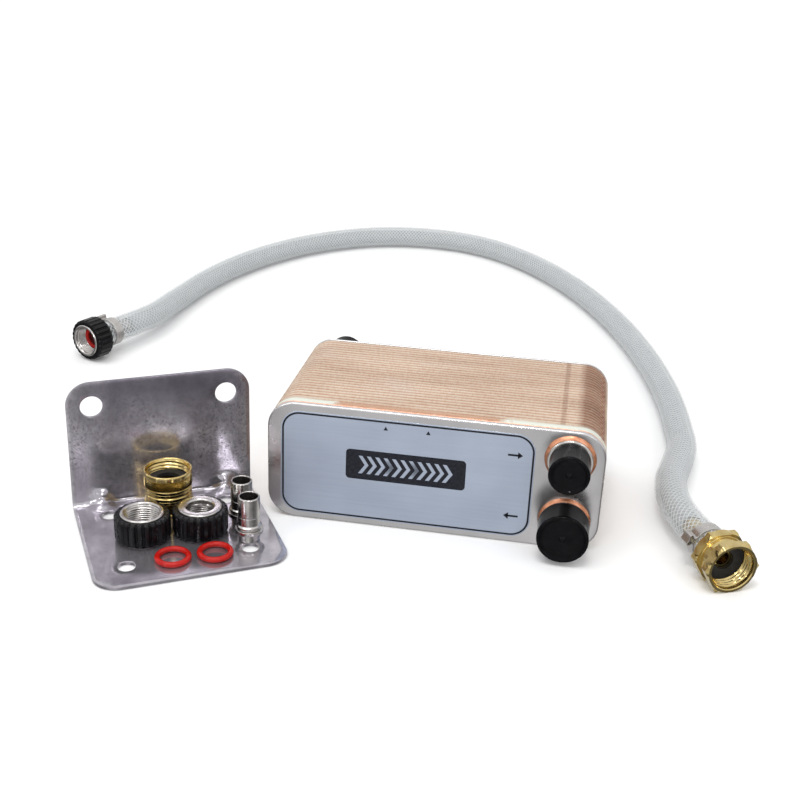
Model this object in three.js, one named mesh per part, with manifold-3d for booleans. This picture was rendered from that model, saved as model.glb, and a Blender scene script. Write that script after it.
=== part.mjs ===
// A plate wort chiller kit: a brazed plate heat exchanger lying on its long narrow side, its capped
// ports, an L-shaped mounting bracket with loose hose fittings on it, and a braided hose.
// Millimetres, +Z up. The origin is on the standing surface, under the middle of the front cover plate.
// The chiller's length runs along X, its label faces -Y, and the front ports are at its +X end.
import * as THREE from "three";
import { mergeVertices } from "three/addons/utils/BufferGeometryUtils.js";
import Module from "manifold-3d";

const wasm = await Module();
wasm.setup();

// ---- driving dimensions ----
const GAP = 0.3; // clearance between touching pieces

const CHILLER = { length: 206, height: 78, depth: 115, corner: 17 };
const COVER_THICKNESS = 2.5;
const SEAL_THICKNESS = 2.8;
const PLATE_PAIRS = 13;
const RIB_BEVEL = 0.8; // how far a rib's edge stands out of the groove beside it
const CHANNEL_RADIUS = 8;
const PORT_INSET = 21; // port centre from the chiller's end
const PORT_SPACING = 42;
const PORT_HEIGHT = 21; // how far a nipple stands out of its cover plate
const WORT = { nipple: 10.6, bore: 7.9, collar: 13.6, braze: 15.2, capWall: 1.4 };
const WATER = { nipple: 13.4, bore: 10, collar: 14.3, braze: 15.8, capWall: 1.9 };
const COLLAR_HEIGHT = 4.6;
const LABEL = { left: -94.5, right: 61.5, bottom: 4, top: 73, corner: 12, thickness: 0.3 };

const BRACKET = { width: 114, depth: 103, height: 85, sheet: 2, bend: 5, corner: 15 };
const BRACKET_PLACE = { x: -171, y: -113.8, turn: THREE.MathUtils.degToRad(30.4) };
const SHELF_HOLE = { radius: 5.1, inset: 20.5, front: 21, back: 84.5 };
const UPRIGHT_HOLE = { radius: 6.8, inset: 15.3, z: 69 };
const GUSSET = { inset: 17.5, width: 7, leg: 13 };

const GRIP = { radius: 16.7, flute: 0.8, ribs: 24, height: 15.2 };
const NUT = { radius: 13.1, rim: 1.2, thread: 10.2, hole: 8.2, lip: 3 };
const O_RING = { middle: 9.05, section: 1.75 };
const SEAL_RING = { middle: 8.1, section: 1.6 }; // the one that is already in the hose's nut
const BARB = { tube: 6.6, bore: 5, foot: 7.2, shoulder: 8.5, step: 7.8, height: 29 };
const COUPLING = { radius: 15, thread: 13.3, height: 29, hole: 10.2, lip: 3, tubeBore: 7.5 };
const COUPLING_FLANGE = { radius: 12.8, thickness: 1.4 };
const COUPLING_WASHER = { inner: 7.6, outer: 12.7, thickness: 2.4 };

// Where each loose fitting stands on the shelf, in the bracket's own X and Y.
const COUPLING_PLACE = [56.7, 81.5];
const GRIP_NUT_A_PLACE = [35.3, 51.5];
const GRIP_NUT_B_PLACE = [69.6, 48.6];
const BARB_A_PLACE = [95.6, 31.6];
const BARB_B_PLACE = [96.4, 53];
const O_RING_A_PLACE = [47.3, 20.8];
const O_RING_B_PLACE = [71.9, 19.1];

const HOSE = { radius: 10.5, bore: 6.9, steps: 60 };
// The hose's centreline on the floor, from its left cut end to its right one. Both ends are straight,
// and lie a little higher, because their nuts are wider than the hose.
const HOSE_ROUTE = [
  [-307.5, 231.5, 17], [-301.5, 245.2, 17], [-295.5, 259, 17], [-291.5, 270, 16.8], [-288, 285, 15.9],
  [-286.5, 303, 14.3], [-286, 332, 12.2], [-284, 362, 10.9], [-283, 374, 10.6], [-277, 416, 10.6],
  [-266, 460, 10.6], [-250, 502, 10.6], [-229, 541, 10.6], [-203, 575, 10.6], [-173, 602, 10.6],
  [-138, 621, 10.6], [-98, 629, 10.6], [-58, 625, 10.6], [-21, 608, 10.6], [12, 580, 10.6],
  [43, 542, 10.6], [71, 497, 10.6], [95, 447, 10.6], [116, 393, 10.6], [133, 337, 10.6],
  [146, 280, 10.6], [155, 223, 10.6], [159, 174, 10.6], [160, 140.5, 10.9], [154, 105, 12.1],
  [150, 82, 13.6], [149.5, 56, 14.8], [152.5, 37, 15.2], [158, 20.2, 15.2], [164.5, 5.6, 15.2],
  [171, -9, 15.2],
].map((p) => new THREE.Vector3(...p));
const HEX_NUT = { flats: 30.2, groove: 13.9, bore: 13.3, hole: 9.3, length: 20, flange: 6.4, lip: 4 };
const HEX_NUT_TURN = THREE.MathUtils.degToRad(-6); // so that it rests on a flat
const EAR_CLAMP = { width: 8, thickness: 0.8, ear: 4.5, earWidth: 7 };
const HOSE_GAP = 3; // between a nut and the hose's cut end
const HOSE_BARB = { bore: 4.6, tail: 6.15, flangeThickness: 2 };
const LEFT_END = { flange: 9.8, tailLength: 27, clampStart: 4, earTurn: THREE.MathUtils.degToRad(197) };
const RIGHT_END = { flange: 12.8, tailLength: 30, clampStart: 4.5, earTurn: THREE.MathUtils.degToRad(224) };
const RIGHT_WASHER = { inner: 6, outer: 12.6, thickness: 2.6 };

const COLOURS = {
  steel: [0x9a9799, 0.3, 1],
  sheet: [0x77737c, 0.35, 0.9],
  copper: [0xb98a6c, 0.4, 0.8],
  pale: [0xc9cfc8, 0.5, 0.5],
  braze: [0xc06a45, 0.35, 0.9],
  label: [0x9fa9bd, 0.4, 0.6],
  vinyl: [0x0b0b0d, 0.25, 0],
  grip: [0x101012, 0.5, 0],
  brass: [0xb8964a, 0.3, 1],
  silicone: [0xc82218, 0.4, 0],
  rubber: [0x161616, 0.7, 0],
  hose: [0xc8cccf, 0.35, 0],
};
const materials = Object.fromEntries(
  Object.entries(COLOURS).map(([name, [color, roughness, metalness]]) => [
    name,
    new THREE.MeshStandardMaterial({ color, roughness, metalness }),
  ]),
);

// ---- shape helpers ----
const QUARTER = Math.PI / 2;

function named(name, geometry, material) {
  const mesh = new THREE.Mesh(geometry, materials[material]);
  mesh.name = name;
  return mesh;
}

function group(...children) {
  const made = new THREE.Group();
  for (const child of children) made.add(child);
  return made;
}

function solidOf(geometry) {
  const bare = geometry.clone();
  bare.deleteAttribute("normal");
  bare.deleteAttribute("uv");
  const merged = mergeVertices(bare, 1e-4);
  const vertProperties = merged.attributes.position.array;
  const triVerts = new Uint32Array(merged.index.array);
  return new wasm.Manifold(new wasm.Mesh({ numProp: 3, vertProperties, triVerts }));
}

function geometryOf(solid) {
  const mesh = solid.getMesh();
  const geometry = new THREE.BufferGeometry();
  geometry.setAttribute("position", new THREE.BufferAttribute(mesh.vertProperties, 3));
  geometry.setIndex(new THREE.BufferAttribute(mesh.triVerts, 1));
  return geometry;
}

function joined(geometries) {
  return geometryOf(geometries.map(solidOf).reduce((all, one) => all.add(one)));
}

function cut(geometry, tools) {
  return geometryOf(tools.map(solidOf).reduce((rest, tool) => rest.subtract(tool), solidOf(geometry)));
}

// A closed profile of [radius, height] points, anticlockwise, turned about Z.
function turned(profile, segments = 18) {
  const points = [...profile, profile[0]].map(([r, z]) => new THREE.Vector2(r, z));
  return new THREE.LatheGeometry(points, segments).rotateX(QUARTER);
}

function washer(inner, outer, low, high, segments) {
  return turned([[inner, low], [outer, low], [outer, high], [inner, high]], segments);
}

function circlePath(x, y, radius) {
  const third = (2 * Math.PI) / 3;
  const path = new THREE.Path();
  for (let i = 0; i < 3; i++) path.absarc(x, y, radius, i * third, (i + 1) * third, false);
  return path;
}

function roundedRectangle(left, bottom, right, top, corners) {
  const [r1, r2, r3, r4] = corners; // bottom right, top right, top left, bottom left
  const shape = new THREE.Shape();
  shape.moveTo(right - r1, bottom);
  if (r1) shape.absarc(right - r1, bottom + r1, r1, -QUARTER, 0, false);
  else shape.lineTo(right, bottom);
  shape.lineTo(right, top - r2);
  if (r2) shape.absarc(right - r2, top - r2, r2, 0, QUARTER, false);
  else shape.lineTo(right, top);
  shape.lineTo(left + r3, top);
  if (r3) shape.absarc(left + r3, top - r3, r3, QUARTER, 2 * QUARTER, false);
  else shape.lineTo(left, top);
  shape.lineTo(left, bottom + r4);
  if (r4) shape.absarc(left + r4, bottom + r4, r4, 2 * QUARTER, 3 * QUARTER, false);
  else shape.lineTo(left, bottom);
  return shape;
}

// Extrudes an outline drawn in X and Z, from y = front to y = back.
function slab(shape, front, back, curveSegments = 2) {
  const depth = back - front;
  const extruded = new THREE.ExtrudeGeometry(shape, { depth, bevelEnabled: false, curveSegments });
  return extruded.rotateX(QUARTER).translate(0, back, 0);
}

// Places a group whose own +Z is the given direction.
function placedAlong(origin, direction, ...children) {
  const placed = group(...children);
  placed.position.copy(origin);
  placed.quaternion.setFromUnitVectors(new THREE.Vector3(0, 0, 1), direction);
  return placed;
}

// ---- chiller block ----
const FRONT = -COVER_THICKNESS / 2; // the front cover plate's outer face
const BACK = FRONT + CHILLER.depth;
const PORT_X = CHILLER.length / 2 - PORT_INSET;
const LOW_PORT_Z = (CHILLER.height - PORT_SPACING) / 2;
const HIGH_PORT_Z = LOW_PORT_Z + PORT_SPACING;
const ALL_PORTS = [-PORT_X, PORT_X].flatMap((x) => [LOW_PORT_Z, HIGH_PORT_Z].map((z) => [x, z]));

function chillerOutline(inset = 0) {
  const half = CHILLER.length / 2 - inset;
  const corners = Array(4).fill(CHILLER.corner - inset);
  return roundedRectangle(-half, inset, half, CHILLER.height - inset, corners);
}

function coverPlate(front, back, portX) {
  const shape = chillerOutline();
  for (const [z, port] of [[HIGH_PORT_Z, WORT], [LOW_PORT_Z, WATER]]) {
    shape.holes.push(circlePath(portX, z, port.nipple + GAP));
  }
  return slab(shape, front, back, 3);
}

function sealPlate(front, back) {
  const shape = chillerOutline();
  for (const [x, z] of ALL_PORTS) shape.holes.push(circlePath(x, z, CHANNEL_RADIUS));
  return slab(shape, front, back, 3);
}

// One rib of the stack: a slab whose front and back edges are bevelled into the grooves beside it.
function rib(front, back) {
  const extruded = new THREE.ExtrudeGeometry(chillerOutline(0.2), {
    depth: back - front - 2 * RIB_BEVEL,
    bevelThickness: RIB_BEVEL,
    bevelSize: RIB_BEVEL,
    bevelOffset: -RIB_BEVEL,
    bevelSegments: 1,
    curveSegments: 2,
  });
  return extruded.rotateX(QUARTER).translate(0, back - RIB_BEVEL, 0);
}

// Two brazed plates, with the four channels that every plate passes on to the next.
function platePair(front, back) {
  const middle = (front + back) / 2;
  const seam = 0.05; // the two ribs share this much, so that they are one body
  const pair = joined([rib(front, middle + seam), rib(middle - seam, back)]);
  const channels = ALL_PORTS.map(([x, z]) => {
    const channel = new THREE.CylinderGeometry(CHANNEL_RADIUS, CHANNEL_RADIUS, 2 * (back - front), 8);
    return channel.translate(x, middle, z);
  });
  return cut(pair, channels);
}

const chiller = group();
const sealFront = FRONT + COVER_THICKNESS + GAP;
const stackFront = sealFront + SEAL_THICKNESS + GAP;
const stackBack = BACK - COVER_THICKNESS - GAP;
const pairPitch = (stackBack + GAP - stackFront) / PLATE_PAIRS;
chiller.add(named("front_cover_plate", coverPlate(FRONT, FRONT + COVER_THICKNESS, PORT_X), "steel"));
chiller.add(named("seal_plate", sealPlate(sealFront, sealFront + SEAL_THICKNESS), "pale"));
chiller.add(named("back_cover_plate", coverPlate(BACK - COVER_THICKNESS, BACK, -PORT_X), "steel"));
for (let i = 0; i < PLATE_PAIRS; i++) {
  const front = stackFront + i * pairPitch;
  const number = String(i + 1).padStart(2, "0");
  chiller.add(named(`plate_pair_${number}`, platePair(front, front + pairPitch - GAP), "copper"));
}
const labelCorners = Array(4).fill(LABEL.corner);
const labelShape = roundedRectangle(LABEL.left, LABEL.bottom, LABEL.right, LABEL.top, labelCorners);
chiller.add(named("label_plate", slab(labelShape, FRONT - 0.05 - LABEL.thickness, FRONT - 0.05), "label"));

// A port's pieces stand along their own +Z, which points out of the cover plate.
function port({ nipple, bore, collar }) {
  const root = 0.2 - COVER_THICKNESS;
  return turned([
    [bore, root], [nipple, root], [nipple, GAP], [collar, GAP], [collar, COLLAR_HEIGHT],
    [nipple, COLLAR_HEIGHT], [nipple, PORT_HEIGHT - 1], [nipple - 1, PORT_HEIGHT], [bore, PORT_HEIGHT],
  ]);
}

function cap({ nipple, capWall }) {
  const inner = nipple + GAP;
  const outer = inner + capWall;
  const mouth = COLLAR_HEIGHT + GAP;
  const floor = PORT_HEIGHT + GAP;
  const crown = floor + 1.8;
  return turned([
    [0, floor], [inner, floor], [inner, mouth], [outer, mouth], [outer, crown - 1.2],
    [outer - 1.2, crown], [1.5, crown], [0, crown + 0.5],
  ]);
}

function addPort(name, x, z, outward, size) {
  const face = outward < 0 ? FRONT : BACK;
  const pieces = [
    named(`${name}_port`, port(size), "steel"),
    named(`${name}_braze_ring`, washer(size.collar + GAP, size.braze, GAP, 1.6), "braze"),
    named(`${name}_cap`, cap(size), "vinyl"),
  ];
  chiller.add(placedAlong(new THREE.Vector3(x, face, z), new THREE.Vector3(0, outward, 0), ...pieces));
}
addPort("wort_in", PORT_X, HIGH_PORT_Z, -1, WORT);
addPort("water_out", PORT_X, LOW_PORT_Z, -1, WATER);
addPort("wort_out", -PORT_X, HIGH_PORT_Z, 1, WORT);
addPort("water_in", -PORT_X, LOW_PORT_Z, 1, WATER);

// ---- bracket, in its own frame: shelf along +Y from its front edge, upright at the back ----
function bracketSheet() {
  const { width, depth, height, sheet, bend, corner } = BRACKET;
  const shelf = roundedRectangle(0, 0, width, depth - bend, [corner, 0, 0, corner]);
  for (const x of [SHELF_HOLE.inset, width - SHELF_HOLE.inset]) {
    for (const y of [SHELF_HOLE.front, SHELF_HOLE.back]) {
      shelf.holes.push(circlePath(x, y, SHELF_HOLE.radius));
    }
  }
  const upright = roundedRectangle(0, bend, width, height, [0, corner, corner, 0]);
  for (const x of [UPRIGHT_HOLE.inset, width - UPRIGHT_HOLE.inset]) {
    upright.holes.push(circlePath(x, UPRIGHT_HOLE.z, UPRIGHT_HOLE.radius));
  }
  // The bend is a quarter ring in Y and Z; its ends run a little into the shelf and the upright.
  const lap = 0.2;
  const ring = new THREE.Shape();
  ring.moveTo(-lap, 0);
  ring.absarc(0, bend, bend, -QUARTER, 0, false);
  ring.lineTo(bend, bend + lap);
  ring.lineTo(bend - sheet, bend + lap);
  ring.absarc(0, bend, bend - sheet, 0, -QUARTER, true);
  ring.lineTo(-lap, sheet);
  const bent = new THREE.ExtrudeGeometry(ring, { depth: width, bevelEnabled: false, curveSegments: 2 });
  bent.applyMatrix4(new THREE.Matrix4().makeBasis(...["Y", "Z", "X"].map(unit)));
  bent.translate(0, depth - bend, 0);
  const pieces = [
    new THREE.ExtrudeGeometry(shelf, { depth: sheet, bevelEnabled: false, curveSegments: 2 }),
    bent,
    slab(upright, depth - sheet, depth),
  ];
  for (const x of [GUSSET.inset, width - GUSSET.inset]) pieces.push(gusset(x));
  return joined(pieces);
}

function unit(axis) {
  return new THREE.Vector3(axis === "X" ? 1 : 0, axis === "Y" ? 1 : 0, axis === "Z" ? 1 : 0);
}

// A pressed rib across the inside of the bend.
function gusset(x) {
  const { depth, sheet } = BRACKET;
  const inside = depth - sheet;
  const side = new THREE.Shape();
  side.moveTo(inside - GUSSET.leg, sheet - 0.2);
  side.lineTo(inside + 0.2, sheet - 0.2);
  side.lineTo(inside + 0.2, sheet + GUSSET.leg);
  const prism = new THREE.ExtrudeGeometry(side, { depth: GUSSET.width, bevelEnabled: false });
  prism.applyMatrix4(new THREE.Matrix4().makeBasis(...["Y", "Z", "X"].map(unit)));
  return prism.translate(x - GUSSET.width / 2, 0, 0);
}

// ---- loose fittings, each standing on z = 0 along its own +Z ----
function fluted(inner, low, high) {
  const shape = new THREE.Shape();
  for (let i = 0; i < 2 * GRIP.ribs; i++) {
    const angle = (i * Math.PI) / GRIP.ribs;
    const radius = i % 2 ? GRIP.radius - GRIP.flute : GRIP.radius;
    shape[i ? "lineTo" : "moveTo"](radius * Math.cos(angle), radius * Math.sin(angle));
  }
  shape.holes.push(circlePath(0, 0, inner));
  const depth = high - low;
  const sleeve = new THREE.ExtrudeGeometry(shape, { depth, bevelEnabled: false, curveSegments: 3 });
  return sleeve.translate(0, 0, low);
}

// A swivel nut with its thread opening upwards and a lip around the barb's hole at the bottom.
const NUT_HEIGHT = GRIP.height + 2 * NUT.rim;
function swivelNut() {
  return turned([
    [NUT.hole, 0], [NUT.radius, 0], [NUT.radius, NUT_HEIGHT], [NUT.thread, NUT_HEIGHT],
    [NUT.thread, NUT.lip], [NUT.hole, NUT.lip],
  ]);
}

function gripSleeve() {
  return fluted(NUT.radius + GAP, NUT.rim, NUT.rim + GRIP.height);
}

function oRing(middle, section) {
  return new THREE.TorusGeometry(middle, section, 8, 18).translate(0, 0, section);
}

function looseBarb() {
  const { tube, bore, foot, shoulder, step, height } = BARB;
  return turned([
    [bore, 0], [foot, 0], [foot, 3], [shoulder, 4], [shoulder, 6.5], [step, 8],
    [tube, 9.5], [tube, height], [bore, height],
  ], 16);
}

// A nut of the coupling with its thread opening upwards; the tube's flange bears on its inner lip.
const COUPLING_NUT_HEIGHT = COUPLING.height / 2 - GAP / 2;
function couplingNut() {
  const { radius, thread, hole, lip } = COUPLING;
  const top = COUPLING_NUT_HEIGHT;
  return turned([
    [hole, 0], [radius - 0.8, 0], [radius - 0.8, 1.5], [radius - 0.2, 2.2], [radius - 0.2, 4.6],
    [radius - 0.7, 5.2], [radius - 0.7, top - 2.6], [radius, top - 2.1], [radius, top],
    [thread, top], [thread, lip], [hole, lip],
  ]);
}

// The tube that both nuts turn on: a flange at each end, and a washer outside each flange.
const TUBE_LOW = COUPLING_NUT_HEIGHT - COUPLING.lip - GAP - COUPLING_FLANGE.thickness;
const TUBE_HIGH = COUPLING.height - TUBE_LOW;
function couplingTube() {
  const { radius, thickness } = COUPLING_FLANGE;
  const bore = COUPLING.tubeBore;
  const outer = COUPLING.hole - GAP;
  return turned([
    [bore, TUBE_LOW], [radius, TUBE_LOW], [radius, TUBE_LOW + thickness], [outer, TUBE_LOW + thickness],
    [outer, TUBE_HIGH - thickness], [radius, TUBE_HIGH - thickness], [radius, TUBE_HIGH], [bore, TUBE_HIGH],
  ]);
}

function couplingWasher(low) {
  const { inner, outer, thickness } = COUPLING_WASHER;
  return washer(inner, outer, low, low + thickness);
}

// Stands pieces on the shelf.
function standing([x, y], ...pieces) {
  const placed = group(...pieces);
  placed.position.set(x, y, BRACKET.sheet + GAP / 3);
  return placed;
}

function upsideDown(height, ...pieces) {
  const turnedOver = group(...pieces);
  turnedOver.rotation.x = Math.PI;
  turnedOver.position.z = height;
  return turnedOver;
}

const upperNut = named("coupling_upper_nut", couplingNut(), "brass");
upperNut.position.z = COUPLING.height - COUPLING_NUT_HEIGHT;
const coupling = standing(COUPLING_PLACE,
  named("coupling_tube", couplingTube(), "brass"),
  named("coupling_lower_washer", couplingWasher(TUBE_LOW - GAP - COUPLING_WASHER.thickness), "rubber"),
  named("coupling_upper_washer", couplingWasher(TUBE_HIGH + GAP), "rubber"),
  upsideDown(COUPLING_NUT_HEIGHT, named("coupling_lower_nut", couplingNut(), "brass")),
  upperNut,
);
const gripNutA = standing(GRIP_NUT_A_PLACE,
  named("grip_nut_a_steel", swivelNut(), "steel"),
  named("grip_nut_a_sleeve", gripSleeve(), "grip"),
);
const gripNutB = standing(GRIP_NUT_B_PLACE,
  upsideDown(NUT_HEIGHT,
    named("grip_nut_b_steel", swivelNut(), "steel"),
    named("grip_nut_b_sleeve", gripSleeve(), "grip"),
  ),
);
const bracket = group(
  named("bracket_sheet", bracketSheet(), "sheet"),
  coupling,
  gripNutA,
  gripNutB,
  standing(BARB_A_PLACE, named("barb_a", looseBarb(), "steel")),
  standing(BARB_B_PLACE, named("barb_b", looseBarb(), "steel")),
  standing(O_RING_A_PLACE, named("o_ring_a", oRing(O_RING.middle, O_RING.section), "silicone")),
  standing(O_RING_B_PLACE, named("o_ring_b", oRing(O_RING.middle, O_RING.section), "silicone")),
);
bracket.position.set(BRACKET_PLACE.x, BRACKET_PLACE.y, 0);
bracket.rotation.z = BRACKET_PLACE.turn;

// ---- hose and its end fittings ----
const route = new THREE.CatmullRomCurve3(HOSE_ROUTE, false, "centripetal");

function hoseTube() {
  const section = new THREE.Shape();
  const bore = new THREE.Path();
  const sides = 10;
  for (let i = 0; i < sides; i++) {
    const angle = (2 * Math.PI * i) / sides;
    const step = i ? "lineTo" : "moveTo";
    section[step](HOSE.radius * Math.cos(angle), HOSE.radius * Math.sin(angle));
    bore[step](HOSE.bore * Math.cos(angle), HOSE.bore * Math.sin(angle));
  }
  section.holes.push(bore);
  return new THREE.ExtrudeGeometry(section, { extrudePath: route, steps: HOSE.steps, bevelEnabled: false });
}

// A one-piece clamp: a band from z = low, with a pinched ear that stands out at the given angle.
function earClamp(low, earTurn) {
  const { width, thickness, ear, earWidth } = EAR_CLAMP;
  const outer = HOSE.radius + GAP + thickness;
  const lap = 0.4; // how far the ear runs into the band
  const band = washer(outer - thickness, outer, low, low + width, 20);
  const pinched = new THREE.BoxGeometry(ear + lap, earWidth, width - 0.6);
  pinched.translate(outer + (ear - lap) / 2, 0, low + width / 2);
  return joined([band, pinched]).rotateZ(earTurn);
}

// A barb whose flange starts at z = seat inside the nut, and whose tail runs into the hose.
function hoseBarb(seat, end, neck, hoseStart) {
  const { bore, tail, flangeThickness } = HOSE_BARB;
  const tailEnd = hoseStart + end.tailLength;
  return turned([
    [bore, seat], [end.flange, seat], [end.flange, seat + flangeThickness], [neck, seat + flangeThickness],
    [neck, hoseStart - GAP], [tail, hoseStart - GAP], [tail, tailEnd], [bore, tailEnd],
  ], 16);
}

// Two hexagonal flanges with a groove between them; the thread opens at z = 0.
function hexNut() {
  const { flats, groove, bore, hole, length, flange, lip } = HEX_NUT;
  const hexagon = (low) => {
    const prism = new THREE.CylinderGeometry(flats / Math.sqrt(3), flats / Math.sqrt(3), flange, 6);
    return prism.rotateX(QUARTER).translate(0, 0, low + flange / 2);
  };
  const rod = (radius, low, high) => {
    const cylinder = new THREE.CylinderGeometry(radius, radius, high - low, 18);
    return cylinder.rotateX(QUARTER).translate(0, 0, (low + high) / 2);
  };
  const body = joined([hexagon(0), hexagon(length - flange), rod(groove, 0.2, length - 0.2)]);
  const bored = cut(body, [rod(bore, -1, length - lip), rod(hole, length - lip - 1, length + 1)]);
  return bored.rotateZ(HEX_NUT_TURN);
}

// Each end's own +Z runs from its nut's mouth along the hose.
const leftAxis = HOSE_ROUTE[1].clone().sub(HOSE_ROUTE[0]).normalize();
const leftHoseStart = NUT_HEIGHT + HOSE_GAP; // the hose's cut end, from the nut's mouth
const leftMouth = HOSE_ROUTE[0].clone().addScaledVector(leftAxis, -leftHoseStart);
const leftSeat = NUT_HEIGHT - NUT.lip - GAP - HOSE_BARB.flangeThickness;
const leftSeal = named("hose_left_seal", oRing(SEAL_RING.middle, SEAL_RING.section), "silicone");
leftSeal.position.z = leftSeat - GAP - 2 * SEAL_RING.section;
const leftEnd = placedAlong(leftMouth, leftAxis,
  leftSeal,
  upsideDown(NUT_HEIGHT,
    named("hose_grip_nut_steel", swivelNut(), "steel"),
    named("hose_grip_nut_sleeve", gripSleeve(), "grip"),
  ),
  named("hose_left_barb", hoseBarb(leftSeat, LEFT_END, NUT.hole - GAP, leftHoseStart), "steel"),
  named("hose_left_clamp", earClamp(leftHoseStart + LEFT_END.clampStart, LEFT_END.earTurn), "steel"),
);

const rightAxis = HOSE_ROUTE.at(-2).clone().sub(HOSE_ROUTE.at(-1)).normalize();
const rightHoseStart = HEX_NUT.length + HOSE_GAP;
const rightMouth = HOSE_ROUTE.at(-1).clone().addScaledVector(rightAxis, -rightHoseStart);
const rightSeat = HEX_NUT.length - HEX_NUT.lip - GAP - HOSE_BARB.flangeThickness;
const washerHigh = rightSeat - GAP;
const washerLow = washerHigh - RIGHT_WASHER.thickness;
const rightEnd = placedAlong(rightMouth, rightAxis,
  named("hose_hex_nut", hexNut(), "brass"),
  named("hose_right_washer", washer(RIGHT_WASHER.inner, RIGHT_WASHER.outer, washerLow, washerHigh), "rubber"),
  named("hose_right_barb", hoseBarb(rightSeat, RIGHT_END, HEX_NUT.hole - GAP, rightHoseStart), "brass"),
  named("hose_right_clamp", earClamp(rightHoseStart + RIGHT_END.clampStart, RIGHT_END.earTurn), "steel"),
);

const hose = group(named("hose_tube", hoseTube(), "hose"), leftEnd, rightEnd);
const kit = group(chiller, bracket, hose);
export default kit;
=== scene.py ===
"""A plate wort chiller kit, dressed around its CAD frame.

The frame's lengths are metres. Outlines and profiles, which are drawn in a piece's own axes, are in
millimetres, and add_piece turns them into metres.
"""

import math

import bmesh
import bpy
from mathutils import Matrix, Vector, geometry, noise


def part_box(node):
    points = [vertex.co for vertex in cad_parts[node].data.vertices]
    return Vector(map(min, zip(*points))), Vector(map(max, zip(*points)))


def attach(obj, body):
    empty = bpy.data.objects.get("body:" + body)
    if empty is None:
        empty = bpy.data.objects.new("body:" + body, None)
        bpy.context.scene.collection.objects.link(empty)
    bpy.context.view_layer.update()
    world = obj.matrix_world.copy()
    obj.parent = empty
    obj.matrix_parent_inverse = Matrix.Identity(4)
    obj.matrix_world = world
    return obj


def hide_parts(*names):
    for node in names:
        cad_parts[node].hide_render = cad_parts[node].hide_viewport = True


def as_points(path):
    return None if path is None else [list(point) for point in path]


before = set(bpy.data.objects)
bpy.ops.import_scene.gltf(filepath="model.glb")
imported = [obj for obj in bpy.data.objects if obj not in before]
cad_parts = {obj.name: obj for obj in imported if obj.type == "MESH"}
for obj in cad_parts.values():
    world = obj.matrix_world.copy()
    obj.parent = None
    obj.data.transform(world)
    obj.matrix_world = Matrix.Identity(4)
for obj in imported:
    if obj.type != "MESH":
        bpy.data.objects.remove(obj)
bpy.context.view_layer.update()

MM = 0.001
TURN = 2 * math.pi
QUARTER = math.pi / 2

# ---- sizes, in millimetres, as in the CAD ----
CORNER = 17
EDGE = 0.9  # rounding of the cover plates' outer edge
PAIR_COUNT = 13
CHANNEL = 8
LABEL_CORNER = 12
LABEL_RIM = 0.7
LABEL_LINE = 1.2
PRINT_THICKNESS = 0.02
CRIMP = {"angle": 38, "spread": 13, "waves": 30, "depth": 0.75}  # its angles are in degrees
PANEL = {"width": 74, "height": 20, "corner": 2.5, "lift": 3, "ridges": 11, "pitch": 5.2}
RIB_LAYERS = [  # one rib: (inset, share of the pitch, how proud)
    (1.35, 0.00, 0.0), (1.10, 0.07, 0.05), (0.55, 0.16, 0.35), (0.12, 0.30, 0.9),
    (0.0, 0.42, 1.0), (0.03, 0.60, 1.0), (0.25, 0.74, 0.75), (0.75, 0.86, 0.25), (1.25, 0.95, 0.0),
]
SMALL_PORT = {"nipple": 10.6, "bore": 7.9, "collar": 13.6, "braze": 15.4, "wall": 1.4}
LARGE_PORT = {"nipple": 13.4, "bore": 10, "collar": 14.3, "braze": 16, "wall": 1.9}
COLLAR_HEIGHT = 4.6
PORT_HEIGHT = 21
PORT_THREAD = {"depth": 0.9, "pitch": 1.8}
CAP = {"slack": 0.25, "gap": 0.3, "crown": 1.8}
GRIP = {"radius": 16.7, "flute": 1.1, "ribs": 24, "height": 15.2, "chamfer": 1.1}
NUT = {"radius": 13.1, "rim": 1.2, "thread": 10.2, "hole": 8.2, "lip": 3}
NUT_HEIGHT = GRIP["height"] + 2 * NUT["rim"]
NUT_THREAD = {"depth": 0.8, "pitch": 1.45}
BARB = {"tube": 6.6, "bore": 5.5, "shoulder": 8.5, "height": 29}
COUPLING = {"radius": 15, "thread": 13.3, "height": 29, "hole": 10.2, "nut": 14.35, "lip": 3}
KNURL = {"teeth": 90, "low": 4.5, "high": 10.3, "depth": 0.34}
HEX_NUT = {"flats": 30.2, "groove": 13.9, "bore": 13.3, "hole": 9.3, "length": 20, "flange": 6.4, "lip": 4}
BRASS_THREAD = {"depth": 0.9, "pitch": 2.2}
LOOSE_RING = {"middle": 9.05, "section": 1.75}
SEAL_RING = {"middle": 8.1, "section": 1.6}
HOSE = {"radius": 10.5, "bore": 6.9, "sides": 40}
BARB_REACH = {"left": 27, "right": 30}  # how far each barb's tail runs into the hose
BARB_FLANGE = 2
FLANGE_GAP = 0.3
CLAMP_INSET = {"left": 4, "right": 4.5}
YARNS = 14
YARN = {"radius": 9.35, "apart": 0.12, "width": 0.58, "thickness": 0.4, "turn": 52, "steps": 22}
EAR_CLAMP = {"width": 8, "thickness": 0.8, "ear": 4.5}
HEX_NUT_TURN = math.radians(-6)
LEFT_EAR_TURN = math.radians(197)
RIGHT_EAR_TURN = math.radians(224)
LEFT_HOSE_START = NUT_HEIGHT + 3
RIGHT_HOSE_START = HEX_NUT["length"] + 3
BRACKET = {"width": 114, "depth": 103, "height": 85, "sheet": 2, "bend": 5, "corner": 15}
BRACKET_PLACE = Vector((-0.171, -0.1138, 0))
BRACKET_TURN = math.radians(30.4)
SHELF_HOLE = {"radius": 5.1, "inset": 20.5, "front": 21, "back": 84.5}
UPRIGHT_HOLE = {"radius": 6.8, "inset": 15.3, "height": 69}
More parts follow.
